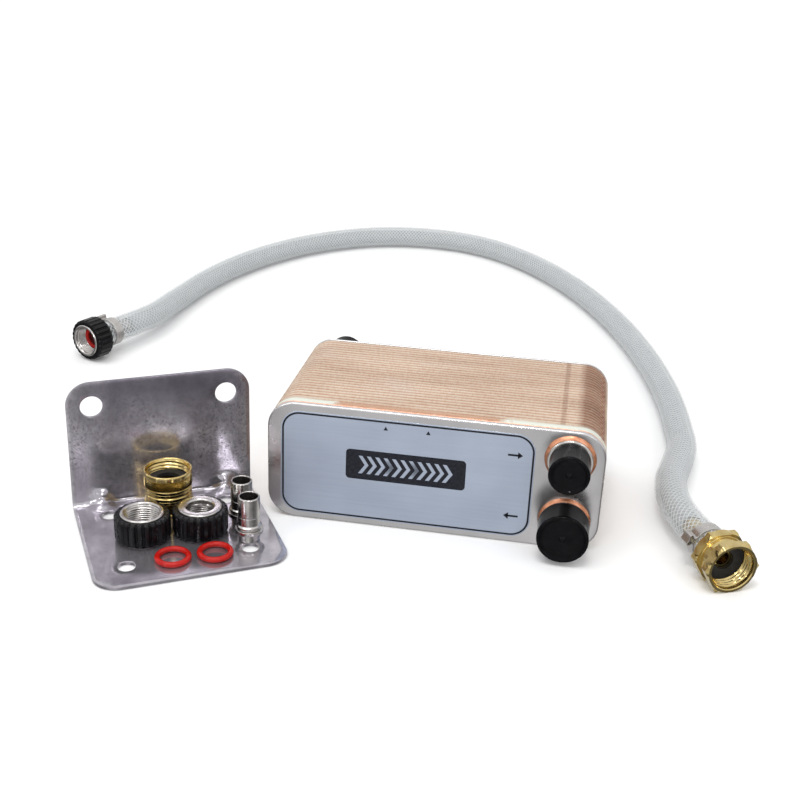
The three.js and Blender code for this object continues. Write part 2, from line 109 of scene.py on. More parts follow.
GUSSET = {"inset": 17.5, "width": 7, "leg": 13, "press": 4.6, "spread": 1.5}
SHEET_POINTS = {"across": 4, "along": 5, "fine": 0.8, "fine_across": 8, "fine_along": 17, "margin": 1.2}

# The hose's centreline from its left cut end to its right one, in metres.
HOSE_ROUTE = [
    (-0.3075, 0.2315, 0.017), (-0.3015, 0.2452, 0.017), (-0.2955, 0.259, 0.017),
    (-0.2915, 0.27, 0.0168), (-0.288, 0.285, 0.0159), (-0.2865, 0.303, 0.0143),
    (-0.286, 0.332, 0.0122), (-0.284, 0.362, 0.0109), (-0.283, 0.374, 0.0106),
    (-0.277, 0.416, 0.0106), (-0.266, 0.46, 0.0106), (-0.25, 0.502, 0.0106),
    (-0.229, 0.541, 0.0106), (-0.203, 0.575, 0.0106), (-0.173, 0.602, 0.0106),
    (-0.138, 0.621, 0.0106), (-0.098, 0.629, 0.0106), (-0.058, 0.625, 0.0106),
    (-0.021, 0.608, 0.0106), (0.012, 0.58, 0.0106), (0.043, 0.542, 0.0106),
    (0.071, 0.497, 0.0106), (0.095, 0.447, 0.0106), (0.116, 0.393, 0.0106),
    (0.133, 0.337, 0.0106), (0.146, 0.28, 0.0106), (0.155, 0.223, 0.0106),
    (0.159, 0.174, 0.0106), (0.16, 0.1405, 0.0109), (0.154, 0.105, 0.0121),
    (0.15, 0.082, 0.0136), (0.1495, 0.056, 0.0148), (0.1525, 0.037, 0.0152),
    (0.158, 0.0202, 0.0152), (0.1645, 0.0056, 0.0152), (0.171, -0.009, 0.0152),
]
ROUTE_STEP = 0.0025

# ---- camera ----
CAMERA_PLACE = Vector((0.07484, -0.64294, 0.36741))
CAMERA_YAW = math.radians(-8.55)
CAMERA_PITCH = math.radians(23.37)
CAMERA_ROLL = math.radians(2.49)
CAMERA_LENS = 53.42

# ---- surroundings ----
# Brightness below the horizon by direction, in degrees from the camera's side towards +X.
LOW_SURROUND = [
    (-180, 0.55), (-125, 0.75), (-85, 0.20), (-45, 0.16), (-28, 0.52), (-12, 0.68), (4, 0.72), (9, 0.82),
    (14, 0.58), (24, 0.38), (38, 0.28), (62, 0.14), (95, 0.22), (130, 0.80), (180, 0.55),
]
# Brightness above the horizon by the sine of the height.
HIGH_SURROUND = [(0.0, 1.0), (0.2, 0.95), (0.42, 0.80), (0.6, 0.95), (1.0, 1.0)]
LAMP_TARGET = (0, 0, 0.03)
LAMPS = {  # each lamp's place, its width and height, and its power in watts
    "left_lamp": ((-0.75, -1.0, 0.5), (0.16, 0.26), 1.5),
    "right_lamp": ((0.75, -1.0, 0.7), (0.16, 0.26), 1.2),
    "top_lamp": ((0.05, -0.45, 1.1), (0.3, 0.2), 1.8),
    "front_lamp": ((0.0, -1.35, 0.75), (0.05, 0.05), 1.1),
}


def add_camera():
    forward = Vector((
        math.sin(CAMERA_YAW) * math.cos(CAMERA_PITCH),
        math.cos(CAMERA_YAW) * math.cos(CAMERA_PITCH),
        -math.sin(CAMERA_PITCH),
    ))
    right = forward.cross(Vector((0, 0, 1))).normalized()
    up = right.cross(forward)
    side = right * math.cos(CAMERA_ROLL) + up * math.sin(CAMERA_ROLL)
    top = up * math.cos(CAMERA_ROLL) - right * math.sin(CAMERA_ROLL)
    data = bpy.data.cameras.new("camera")
    data.lens = CAMERA_LENS
    data.sensor_width = 36
    data.clip_start = 0.01
    camera = bpy.data.objects.new("camera", data)
    bpy.context.scene.collection.objects.link(camera)
    turn = Matrix((side, top, -forward)).transposed().to_4x4()
    camera.matrix_world = Matrix.Translation(CAMERA_PLACE) @ turn
    bpy.context.scene.camera = camera


# ---- node helpers ----
def new_material(name, **values):
    """A material whose Principled sockets have these values: Base_Color=(r, g, b), Roughness=0.3."""
    material = bpy.data.materials.new(name)
    material.use_nodes = True
    shader = material.node_tree.nodes["Principled BSDF"]
    for socket, value in values.items():
        if isinstance(value, tuple):
            value = (*value, 1)
        shader.inputs[socket.replace("_", " ")].default_value = value
    return material


def link(material, source, socket):
    """Feeds a node's output, or a value, to an input socket."""
    if isinstance(source, bpy.types.NodeSocket):
        material.node_tree.links.new(source, socket)
    elif isinstance(source, tuple):
        socket.default_value = (*source, 1) if len(socket.default_value) == 4 else source
    else:
        socket.default_value = source


def to_shader(material, socket, source):
    link(material, source, material.node_tree.nodes["Principled BSDF"].inputs[socket])


def math_node(material, operation, a, b=0.0, clamp=False):
    node = material.node_tree.nodes.new("ShaderNodeMath")
    node.operation = operation
    node.use_clamp = clamp
    link(material, a, node.inputs[0])
    link(material, b, node.inputs[1])
    return node.outputs[0]


def times(material, product, *factors):
    """The product of outputs and values."""
    for factor in factors:
        product = math_node(material, "MULTIPLY", product, factor)
    return product


def coordinates(material, stretch=(1, 1, 1), kind="Object"):
    nodes = material.node_tree.nodes
    source = nodes.new("ShaderNodeTexCoord")
    mapping = nodes.new("ShaderNodeMapping")
    mapping.inputs["Scale"].default_value = stretch
    material.node_tree.links.new(source.outputs[kind], mapping.inputs["Vector"])
    return mapping.outputs["Vector"]


def grain(material, scale, detail, stretch=(1, 1, 1), roughness=0.5):
    """Noise with features of about 1 / scale metres, longer where stretch is under 1."""
    node = material.node_tree.nodes.new("ShaderNodeTexNoise")
    node.inputs["Scale"].default_value = scale
    node.inputs["Detail"].default_value = detail
    node.inputs["Roughness"].default_value = roughness
    link(material, coordinates(material, stretch), node.inputs["Vector"])
    return node.outputs["Fac"]


def axis_value(material, axis):
    """A point's X, Y or Z in the piece's own axes, in metres."""
    node = material.node_tree.nodes.new("ShaderNodeSeparateXYZ")
    link(material, coordinates(material), node.inputs[0])
    return node.outputs[axis]


def ramp(material, factor, *stops):
    """Maps a factor through stops of (position, value), where a value is a number or an (r, g, b)."""
    node = material.node_tree.nodes.new("ShaderNodeValToRGB")
    elements = node.color_ramp.elements
    while len(elements) < len(stops):
        elements.new(0.5)
    for element, (position, value) in zip(elements, stops):
        element.position = position
        element.color = (*value, 1) if isinstance(value, tuple) else (value, value, value, 1)
    link(material, factor, node.inputs["Fac"])
    return node.outputs["Color"]


def mixed(material, factor, a, b, blend="MIX"):
    node = material.node_tree.nodes.new("ShaderNodeMix")
    node.data_type = "RGBA"
    node.blend_type = blend
    link(material, factor, node.inputs["Factor"])
    first, second = (socket for socket in node.inputs if socket.type == "RGBA")
    link(material, a, first)
    link(material, b, second)
    return next(socket for socket in node.outputs if socket.type == "RGBA")


def between(material, value, low, high):
    """0 below low, 1 above high, and straight in between."""
    node = material.node_tree.nodes.new("ShaderNodeMapRange")
    node.inputs["From Min"].default_value = low
    node.inputs["From Max"].default_value = high
    link(material, value, node.inputs["Value"])
    return node.outputs["Result"]


def clouded(material, socket, scale, detail, *stops):
    """Runs a shader socket through (position, value) stops by plain noise."""
    to_shader(material, socket, ramp(material, grain(material, scale, detail), *stops))


def tinted(material, colour, tint):
    return mixed(material, 1.0, colour, tint, "MULTIPLY")


def add_bump(material, height, distance, strength):
    node = material.node_tree.nodes.new("ShaderNodeBump")
    node.inputs["Distance"].default_value = distance
    node.inputs["Strength"].default_value = strength
    link(material, height, node.inputs["Height"])
    to_shader(material, "Normal", node.outputs["Normal"])


def attribute(material, name):
    node = material.node_tree.nodes.new("ShaderNodeAttribute")
    node.attribute_name = name
    return node.outputs["Fac"]


# ---- materials ----
def cover_steel():
    """Satin stainless sheet with a fine grain and faint clouds."""
    made = new_material("cover_steel", Metallic=1.0)
    clouded(made, "Base Color", 22, 4, (0.3, (0.56, 0.55, 0.555)), (0.7, (0.70, 0.685, 0.69)))
    clouded(made, "Roughness", 60, 4, (0.3, 0.24), (0.75, 0.34))
    add_bump(made, grain(made, 900, 2), 0.00003, 0.5)
    return made


def braze_run(material):
    """1 along the middle of the block's long sides, where braze has run over the front plates."""
    wander = times(material, math_node(material, "SUBTRACT", grain(material, 90, 4), 0.5), 0.03)
    x = math_node(material, "ADD", axis_value(material, "X"), wander)
    return times(material, between(material, x, -0.064, -0.060), between(material, x, 0.044, 0.038))


def stack_copper():
    """Copper-washed plate rims: cream lips, copper grooves, and painted shade that darkens them round the
    right-hand corners and a strip beside them, except near the bottom.
    """
    made = new_material("stack_copper", Metallic=0.1, Specular_IOR_Level=0.4)
    x = axis_value(made, "X")
    streak = grain(made, 40, 5, (0.25, 1.0, 1.0))
    ticks = ramp(made, grain(made, 650, 2, (1, 0.3, 0.3)), (0.42, 0.0), (0.62, 0.18))
    rib = math_node(made, "SUBTRACT", attribute(made, "rib"), ticks, clamp=True)
    lip = ramp(made, streak, (0.25, (0.47, 0.36, 0.265)), (0.6, (0.63, 0.535, 0.43)))
    groove = ramp(made, streak, (0.3, (0.30, 0.14, 0.08)), (0.7, (0.45, 0.25, 0.16)))
    colour = mixed(made, rib, groove, lip)
    # Painted shade: the rims round the right-hand corners and a narrow strip beside them are darkened, fading
    # out towards the bottom.
    low_z = between(made, axis_value(made, "Z"), 0.03, 0.07)
    corner = times(made, between(made, x, 0.083, 0.088), between(made, x, 0.1022, 0.1008))
    strip = times(made, between(made, x, 0.0735, 0.0745), between(made, x, 0.0775, 0.0765), 0.55)
    dark = times(made, math_node(made, "MAXIMUM", corner, strip), low_z, 0.85)
    colour = mixed(made, dark, colour, tinted(made, colour, (0.45, 0.31, 0.25)))
    stain = ramp(made, grain(made, 26, 3, (0.6, 1, 1)), (0.56, 0.0), (0.72, 1.0))
    colour = mixed(made, times(made, stain, 0.3), colour, (0.50, 0.43, 0.40))
    run = braze_run(made)
    first = between(made, axis_value(made, "Y"), 0.0105, 0.0060)
    colour = mixed(made, times(made, first, run, 0.65), colour, (0.46, 0.24, 0.14))
    plain = math_node(made, "SUBTRACT", 1.0, run)
    next_to_seal = between(made, axis_value(made, "Y"), 0.0096, 0.0086)
    colour = mixed(made, times(made, next_to_seal, plain, 0.9), colour, (0.66, 0.69, 0.62))
    crimp = times(made, attribute(made, "crimp"), math_node(made, "SUBTRACT", 1.0, rib))
    to_shader(made, "Base Color", mixed(made, crimp, colour, (0.30, 0.095, 0.045)))
    to_shader(made, "Roughness", ramp(made, streak, (0.3, 0.40), (0.7, 0.56)))
    add_bump(made, grain(made, 1300, 3, (0.4, 1, 1)), 0.00008, 0.6)
    return made


def pale_plate():
    """The pale plate behind the cover, with a stretch in the middle where braze has run over it."""
    made = new_material("pale_plate", Metallic=0.1)
    run = braze_run(made)
    copper = ramp(made, grain(made, 220, 4), (0.35, (0.42, 0.19, 0.10)), (0.7, (0.62, 0.37, 0.24)))
    pale = ramp(made, grain(made, 160, 3), (0.3, (0.60, 0.66, 0.58)), (0.7, (0.72, 0.77, 0.70)))
    to_shader(made, "Base Color", mixed(made, run, pale, copper))
    clouded(made, "Roughness", 300, 3, (0.3, 0.38), (0.7, 0.55))
    add_bump(made, grain(made, 700, 3), 0.00008, 0.5)
    return made


def braze_line():
    made = new_material("braze_line", Metallic=0.8, Roughness=0.42)
    clouded(made, "Base Color", 400, 3, (0.3, (0.60, 0.28, 0.17)), (0.7, (0.80, 0.50, 0.38)))
    return made


def label_foil():
    """Blue-silver foil with a faint brushed grain along its length."""
    made = new_material("label_foil", Metallic=0.6)
    brushed = grain(made, 900, 3, (0.03, 1, 1))
    base = ramp(made, grain(made, 16, 2), (0.35, (0.36, 0.41, 0.51)), (0.65, (0.44, 0.50, 0.61)))
    pale = ramp(made, brushed, (0.4, 0.0), (0.6, 0.10))
    to_shader(made, "Base Color", mixed(made, pale, base, (0.62, 0.66, 0.74)))
    to_shader(made, "Roughness", ramp(made, brushed, (0.3, 0.30), (0.7, 0.38)))
    add_bump(made, brushed, 0.00002, 0.3)
    return made


def label_ink():
    made = new_material("label_ink", Roughness=0.4, Specular_IOR_Level=0.1)
    clouded(made, "Base Color", 600, 3, (0.3, (0.010, 0.011, 0.016)), (0.8, (0.025, 0.026, 0.034)))
    return made


def turned_metal(name, dark, light, rough, polished, dirt=0.0):
    """Metal off a lathe: fine rings round the piece's own axis and a little tarnish."""
    made = new_material(name, Metallic=1.0)
    rings = grain(made, 900, 3, (0.05, 0.05, 1))
    colour = ramp(made, grain(made, 130, 4), (0.3, dark), (0.7, light))
    if dirt:
        spots = ramp(made, grain(made, 380, 5), (0.60, 0.0), (0.74, 1.0))
        colour = mixed(made, times(made, spots, dirt), colour, tuple(0.35 * c for c in dark))
    to_shader(made, "Base Color", colour)
    to_shader(made, "Roughness", ramp(made, rings, (0.3, polished), (0.7, rough)))
    add_bump(made, rings, 0.00004, 0.5)
    return made


def braze_copper():
    """Copper that has run out of a joint and frozen."""
    made = new_material("braze_copper", Metallic=0.85)
    clouded(made, "Base Color", 260, 5, (0.3, (0.50, 0.19, 0.09)), (0.7, (0.80, 0.40, 0.25)))
    clouded(made, "Roughness", 500, 3, (0.3, 0.25), (0.7, 0.48))
    add_bump(made, grain(made, 420, 4), 0.0003, 0.5)
    return made


def cap_vinyl():
    """Glossy dipped vinyl."""
    made = new_material("cap_vinyl", Specular_IOR_Level=0.08)
    clouded(made, "Base Color", 150, 3, (0.3, (0.0025, 0.0025, 0.003)), (0.8, (0.005, 0.005, 0.006)))
    clouded(made, "Roughness", 240, 4, (0.3, 0.07), (0.75, 0.16))
    add_bump(made, grain(made, 110, 2), 0.0004, 0.2)
    return made


def bracket_steel():
    """Mill-finish sheet: cloudy, with patches of small dark specks, soft mirror reflections, and a painted
    dark reflection over the upper upright.
    """
    made = new_material("bracket_steel", Metallic=0.8)
    cloud = grain(made, 30, 6, roughness=0.62)
    colour = ramp(made, cloud, (0.34, (0.33, 0.31, 0.345)), (0.64, (0.58, 0.555, 0.60)))
    x, z = axis_value(made, "X"), axis_value(made, "Z")
    # Painted dark reflection: the upright is darkened above about 45 to 75 mm, except near its x = 0 end.
    painted_dark_reflection = times(made, between(made, z, 0.045, 0.075), between(made, x, 0.002, 0.03), 0.9)
    colour = mixed(made, painted_dark_reflection, colour, tinted(made, colour, (0.50, 0.48, 0.53)))
    speck = ramp(made, grain(made, 680, 4, roughness=0.7), (0.52, 0.0), (0.62, 1.0))
    patch = ramp(made, grain(made, 34, 3), (0.40, 0.2), (0.58, 1.0))
    above_shelf = math_node(made, "ADD", times(made, between(made, z, 0.004, 0.02), 0.8), 0.2)
    specks = times(made, speck, patch, 0.6, above_shelf)
    to_shader(made, "Base Color", mixed(made, specks, colour, (0.10, 0.09, 0.115)))
    clouded(made, "Roughness", 260, 4, (0.3, 0.12), (0.7, 0.21))
    add_bump(made, grain(made, 900, 3), 0.00002, 0.4)
    return made


def black_rubber():
    made = new_material("black_rubber", Roughness=0.6)
    clouded(made, "Base Color", 300, 3, (0.3, (0.010, 0.010, 0.010)), (0.8, (0.028, 0.027, 0.026)))
    add_bump(made, grain(made, 1500, 3), 0.00005, 0.5)
    return made


def grip_plastic():
    """Moulded plastic, rubbed glossy on its lands."""
    made = new_material("grip_plastic", Specular_IOR_Level=0.22)
    clouded(made, "Base Color", 260, 4, (0.3, (0.003, 0.003, 0.0035)), (0.8, (0.008, 0.008, 0.010)))
    clouded(made, "Roughness", 180, 4, (0.3, 0.16), (0.7, 0.30))
    add_bump(made, grain(made, 2200, 3), 0.00004, 0.5)
    return made


def red_silicone():
    made = new_material("red_silicone", Specular_IOR_Level=0.30)
    clouded(made, "Base Color", 220, 3, (0.3, (0.38, 0.005, 0.003)), (0.8, (0.50, 0.011, 0.006)))
    clouded(made, "Roughness", 500, 3, (0.3, 0.14), (0.7, 0.26))
    return made


def hose_clear():
    """The clear outer layer of the hose."""
    made = new_material("hose_clear", Alpha=0.26, Specular_IOR_Level=0.6)
    clouded(made, "Base Color", 120, 3, (0.3, (0.52, 0.545, 0.56)), (0.7, (0.62, 0.645, 0.66)))
    clouded(made, "Roughness", 300, 3, (0.3, 0.14), (0.7, 0.26))
    return made


def hose_milky():
    """The bore, which looks frosted where nothing presses on it."""
    made = new_material("hose_milky", Alpha=0.80)
    clouded(made, "Base Color", 160, 3, (0.3, (0.46, 0.485, 0.50)), (0.7, (0.58, 0.605, 0.62)))
    clouded(made, "Roughness", 400, 3, (0.3, 0.45), (0.7, 0.65))
    return made


def hose_pressed():
    """The bore where a barb presses on it, which lets the barb show."""
    made = new_material("hose_pressed", Alpha=0.08)
    clouded(made, "Base Color", 160, 3, (0.3, (0.45, 0.48, 0.50)), (0.7, (0.56, 0.60, 0.62)))
    clouded(made, "Roughness", 400, 3, (0.3, 0.25), (0.7, 0.40))
    return made


def braid_yarn():
    made = new_material("braid_yarn", Roughness=0.55)
    clouded(made, "Base Color", 900, 3, (0.3, (0.72, 0.74, 0.755)), (0.7, (0.84, 0.86, 0.87)))
    add_bump(made, grain(made, 3000, 2), 0.00005, 0.6)
    return made


def floor_pale():
    made = new_material("floor_pale", Roughness=0.85, Specular_IOR_Level=0.2)
    clouded(made, "Base Color", 3, 3, (0.3, (0.93, 0.93, 0.93)), (0.7, (0.95, 0.95, 0.95)))
    return made


materials = {
    "cover_steel": cover_steel(),
    "copper_plates": stack_copper(),
    "pale_plate": pale_plate(),
    "braze_line": braze_line(),
    "label_foil": label_foil(),
    "label_ink": label_ink(),
    "port_steel": turned_metal("port_steel", (0.52, 0.50, 0.48), (0.68, 0.66, 0.64), 0.24, 0.12),
    "braze_copper": braze_copper(),
    "cap_vinyl": cap_vinyl(),
    "bracket_steel": bracket_steel(),
    "brass": turned_metal("brass", (0.54, 0.405, 0.155), (0.70, 0.56, 0.26), 0.24, 0.13, 0.10),
    "black_rubber": black_rubber(),
    "fitting_steel": turned_metal("fitting_steel", (0.46, 0.44, 0.43), (0.62, 0.60, 0.58), 0.28, 0.15, 0.12),
    "clamp_steel": turned_metal("clamp_steel", (0.44, 0.42, 0.41), (0.58, 0.56, 0.54), 0.34, 0.24),
    "grip_plastic": grip_plastic(),
    "red_silicone": red_silicone(),
    "hose_clear": hose_clear(),
    "hose_milky": hose_milky(),
    "hose_pressed": hose_pressed(),
    "braid_yarn": braid_yarn(),
}
CARRIED_OVER = {  # CAD nodes that stay as they are, and their looks
    "coupling_tube": "brass", "coupling_lower_washer": "black_rubber",
    "coupling_upper_washer": "black_rubber", "hose_right_washer": "black_rubber",
}


# ---- mesh helpers ----
def add_piece(name, points, faces, look, body, nodes=(), place=None, sharp=32, looks=(), face_looks=None):
    """Makes a piece from points in millimetres in its own axes, and stands it for the CAD nodes."""
    mesh = bpy.data.meshes.new(name)
    mesh.from_pydata([Vector(p) * MM for p in points], [], faces)
    for key in (look, *looks):
        mesh.materials.append(materials[key])
    if face_looks:
        mesh.polygons.foreach_set("material_index", face_looks)
    build = bmesh.new()
    build.from_mesh(mesh)
    bmesh.ops.remove_doubles(build, verts=build.verts, dist=0.001 * MM)
    bmesh.ops.recalc_face_normals(build, faces=build.faces)
    build.to_mesh(mesh)
    build.free()
    mesh.shade_smooth()
    mesh.set_sharp_from_angle(angle=math.radians(sharp))
    piece = bpy.data.objects.new(name, mesh)
    bpy.context.scene.collection.objects.link(piece)
    piece.matrix_world = place or Matrix.Identity(4)
    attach(piece, body)
    if nodes:
        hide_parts(*nodes)
    return piece


def add_turned(name, profile, segments, look, body, node, place, shape=None, sharp=32):
    """Makes a piece by turning a closed profile about its own Z."""
    points, faces = turned(profile, segments, shape)
    add_piece(name, points, faces, look, body, [node], place, sharp)


def softened(profile, radius, steps=3):
    """Rounds every corner of a closed outline, as far as the edges beside it allow."""
    out = []
    for i, corner in enumerate(profile):
        here = Vector(corner)
        before = Vector(profile[i - 1]) - here
        after = Vector(profile[(i + 1) % len(profile)]) - here
        reach = min(radius, 0.45 * before.length, 0.45 * after.length)
        if reach < 0.01 or here.x < 0.001:
            out.append(tuple(here))
            continue
        start = here + before.normalized() * reach
        end = here + after.normalized() * reach
        for k in range(steps + 1):
            t = k / steps
            out.append(tuple(start.lerp(here, t).lerp(here.lerp(end, t), t)))
    return out


def subdivided(start, end, step):
    """Points from start to end, both included, at most step apart."""
    count = max(1, math.ceil((Vector(end) - Vector(start)).length / step))
    return [tuple(Vector(start).lerp(Vector(end), i / count)) for i in range(count + 1)]


def ring_faces(rings, size, first=0, closed=False):
    """Quads from each ring of this many points to the next, and from the last to the first if closed."""
    faces = []
    for i in range(rings if closed else rings - 1):
        a, b = first + i * size, first + (i + 1) % rings * size
        for j in range(size):
            k = (j + 1) % size
            faces.append((a + j, b + j, b + k, a + k))
    return faces


def turned(profile, segments, shape):
    """Points and faces of a closed (radius, height) profile turned about Z. shape may move a point."""
    points = []
    for i in range(segments):
        angle = TURN * i / segments
        for radius, height in profile:
            if shape:
                radius, height = shape(radius, height, angle)
            points.append((radius * math.cos(angle), radius * math.sin(angle), height))
    return points, ring_faces(segments, len(profile), closed=True)


def threaded(radius, thread, low, high):
    """A shape function that cuts a helical thread into the surface at this radius between two heights."""
    depth, pitch = thread["depth"], thread["pitch"]

    def shape(r, z, angle):
        if abs(r - radius) > 0.01 or not low < z < high:
            return r, z
        turn = (z / pitch - angle / TURN) % 1
        fade = min(1, (z - low) / pitch, (high - z) / pitch)
        return r - depth * fade * (0.5 - 0.5 * math.cos(TURN * turn)), z
    return shape


def rounded_rectangle(left, bottom, right, top, radii, arc_steps=10, step=1e6):
    """A function that gives the loop of points at an inset, the same number at every inset."""
    corners = [  # bottom right, top right, top left, bottom left, each with its centre's directions
        (right, bottom, radii[0], -1, 1, -QUARTER),
        (right, top, radii[1], -1, -1, 0),
        (left, top, radii[2], 1, -1, QUARTER),
        (left, bottom, radii[3], 1, 1, 2 * QUARTER),
    ]
    wide, tall = right - left, top - bottom
    counts = [math.ceil(size / step) for size in (tall, wide, tall, wide)]

    def loop(inset):
        arcs = []
        for x, y, radius, into_x, into_y, start in corners:
            if radius == 0:
                arcs.append([(x + into_x * inset, y + into_y * inset)])
                continue
            cx, cy = x + into_x * radius, y + into_y * radius
            angles = [start + QUARTER * k / arc_steps for k in range(arc_steps + 1)]
            size = radius - inset
            arcs.append([(cx + size * math.cos(angle), cy + size * math.sin(angle)) for angle in angles])
        points = []
        for arc, count, following in zip(arcs, counts, arcs[1:] + arcs[:1]):
            points += arc
            edge = Vector(arc[-1]), Vector(following[0])
            points += [tuple(edge[0].lerp(edge[1], k / count)) for k in range(1, count)]
        return points

    return loop


def circle(x, y, radius, steps):
    """A hole: a larger inset makes it larger."""
    def loop(inset):
        size = radius + inset
        angles = [TURN * k / steps for k in range(steps)]
        return [(x + size * math.cos(angle), y + size * math.sin(angle)) for angle in angles]
    return loop


def sheet(outline, holes, layers, put, inner_points=(), bands=()):
    """Points, faces and each face's look for a plate.

    layers are (inset, height) from one face, round the edge, to the other face. put turns (u, v, height)
    into a point. bands says the look of the ring after each layer; the two faces have look 0.
    """
    loops = [outline, *holes]
    sizes = [len(loop(0)) for loop in loops]
    flat = [Vector(p) for loop in loops for p in loop(layers[0][0])]
    edges = []
    start = 0
    for size in sizes:
        edges += [(start + k, start + (k + 1) % size) for k in range(size)]
        start += size
    flat += [Vector(p) for p in inner_points]
    _, _, triangles, origin, _, _ = geometry.delaunay_2d_cdt(flat, edges, [], 1, 1e-6)
    source = [ids[0] for ids in origin]
    ring = sum(sizes)
    loop_of = [number for number, size in enumerate(sizes) for _ in range(size)] + [-1] * len(inner_points)
    points, faces, looks = [], [], []
    for inset, height in layers:
        for loop in loops:
            points += [put(u, v, height) for u, v in loop(inset)]
    extra = len(points)
    points += [put(u, v, layers[0][1]) for u, v in inner_points]
    points += [put(u, v, layers[-1][1]) for u, v in inner_points]
    last = (len(layers) - 1) * ring
    for triangle in triangles:
        ids = [source[k] for k in triangle]
        if loop_of[ids[0]] > 0 and loop_of[ids[0]] == loop_of[ids[1]] == loop_of[ids[2]]:
            continue  # it fills a hole
        top = [k if k < ring else extra + k - ring for k in ids]
        bottom = [last + k if k < ring else extra + len(inner_points) + k - ring for k in ids]
        faces += [tuple(top), tuple(reversed(bottom))]
        looks += [0, 0]
    for layer in range(len(layers) - 1):
        look = bands[layer] if layer < len(bands) else 0
        start = 0
        for size in sizes:
            for k in range(size):
                a = layer * ring + start + k
                b = layer * ring + start + (k + 1) % size
                faces.append((a, a + ring, b + ring, b))
                looks.append(look)
            start += size
    return points, faces, looks


def along(origin, direction):
    """A placing whose +Z is direction."""
    turn = Vector((0, 0, 1)).rotation_difference(Vector(direction)).to_matrix().to_4x4()
    return Matrix.Translation(origin) @ turn


def box_centre(node):
    low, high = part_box(node)
    return (low + high) / 2


def standing(node):
    """A placing at the bottom of a CAD node, upright."""
    low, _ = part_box(node)
    centre = box_centre(node)
    return Matrix.Translation((centre.x, centre.y, low.z))


def upside_down(place, height):
    return place @ Matrix.Translation((0, 0, height * MM)) @ Matrix.Rotation(math.pi, 4, "X")


# ---- hose ----
def smooth_route(points, step):
    """A centripetal Catmull-Rom curve through the points, sampled about every step."""
    ends = [2 * points[0] - points[1], *points, 2 * points[-1] - points[-2]]
    line = [points[0]]
    for i in range(1, len(ends) - 2):
        p = ends[i - 1:i + 3]
        knots = [0.0]
        for a, b in zip(p, p[1:]):
            knots.append(knots[-1] + math.sqrt((b - a).length))
        count = max(1, round((p[2] - p[1]).length / step))
        for k in range(1, count + 1):
            t = knots[1] + (knots[2] - knots[1]) * k / count
            legs = [at_knot(t, p[j], p[j + 1], knots[j], knots[j + 1]) for j in range(3)]
            bends = [at_knot(t, legs[j], legs[j + 1], knots[j], knots[j + 2]) for j in range(2)]
            line.append(at_knot(t, *bends, knots[1], knots[2]))
    return line


def at_knot(t, start, end, low, high):
    """The point between start and end at t, where low and high are their own knots."""
    return start.lerp(end, (t - low) / (high - low))


def carried_frames(line):
    """A side and an up direction at each point of a line, carried along without twisting."""
    frames = []
    side = Vector((0, 0, 1)).cross(line[1] - line[0]).normalized()
    for i, point in enumerate(line):
        ahead = (line[min(i + 1, len(line) - 1)] - line[max(i - 1, 0)]).normalized()
        side = (side - ahead * side.dot(ahead)).normalized()
        frames.append((point, side, ahead.cross(side), ahead))
    return frames


def distances(line):
    total = [0.0]
    for a, b in zip(line, line[1:]):
        total.append(total[-1] + (b - a).length)
    return total


def add_hose():
    line = smooth_route([Vector(p) for p in HOSE_ROUTE], ROUTE_STEP)
    frames = carried_frames(line)
    travelled = distances(line)
    pressed_low, pressed_high = BARB_REACH["left"] * MM, travelled[-1] - BARB_REACH["right"] * MM
    sides = HOSE["sides"]
    points, faces, looks = [], [], []
    for radius in (HOSE["radius"], HOSE["bore"]):
        for point, side, up, _ in frames:
            for k in range(sides):
                angle = TURN * k / sides
                spoke = side * math.cos(angle) + up * math.sin(angle)
                points.append(point / MM + spoke * radius)
    inner = len(frames) * sides
    for i in range(len(frames) - 1):
        pressed = not pressed_low <= travelled[i] <= pressed_high
        a, b = i * sides, (i + 1) * sides
        for k in range(sides):
            n = (k + 1) % sides
            faces.append((a + k, a + n, b + n, b + k))
            faces.append((inner + a + n, inner + a + k, inner + b + k, inner + b + n))
            looks += [0, 2 if pressed else 1]
    for row in (0, inner - sides):
        for k in range(sides):
            n = (k + 1) % sides
            faces.append((row + k, inner + row + k, inner + row + n, row + n))
            looks.append(0)
    hose = add_piece(
        "hose", points, faces, "hose_clear", "hose", ["hose_tube"], looks=("hose_milky", "hose_pressed"),
        face_looks=looks, sharp=60,
    )
    return hose, line


def add_braid(line):
    """Yarns wound both ways inside the hose's wall; one way lies a little further out than the other."""
    total = distances(line)[-1]
    lead = YARN["turn"] * MM
    rows = int(total / (lead / YARN["steps"]))
    frames = carried_frames(resampled(line, rows))
    half = YARN["width"] / 2
    points, faces = [], []
    for way in (1, -1):
        radius = YARN["radius"] + YARN["apart"] * way
        lean = math.atan2(TURN * radius, YARN["turn"])
        for yarn in range(YARNS):
            first = len(points)
            for i, (point, side, up, ahead) in enumerate(frames):
                angle = TURN * (yarn / YARNS + way * i * total / rows / lead)
                spoke = side * math.cos(angle) + up * math.sin(angle)
                around = up * math.cos(angle) - side * math.sin(angle)
                across = (ahead * math.sin(lean) - around * math.cos(lean) * way) * half
                middle = point / MM + spoke * radius
                crown = spoke * (YARN["thickness"] / 2)
                points += [middle - across, middle + crown, middle + across, middle - crown]
            faces += ring_faces(len(frames), 4, first)
            end = len(points) - 4
            faces += [(first, first + 1, first + 2, first + 3), (end + 3, end + 2, end + 1, end)]
    return add_piece("hose_braid", points, faces, "braid_yarn", "hose", sharp=180)


def resampled(line, count):
    """The same line with count + 1 points at even distances."""
    travelled = distances(line)
    out, j = [], 0
    for i in range(count + 1):
        target = travelled[-1] * i / count
        while j < len(line) - 2 and travelled[j + 1] < target:
            j += 1
        share = (target - travelled[j]) / (travelled[j + 1] - travelled[j])
        out.append(line[j].lerp(line[j + 1], share))
    return out


def end_place(first, second, start):
    """A placing at a nut's mouth whose +Z runs along the hose, start millimetres before the hose."""
    axis = (Vector(second) - Vector(first)).normalized()
    return along(Vector(first) - axis * start * MM, axis)


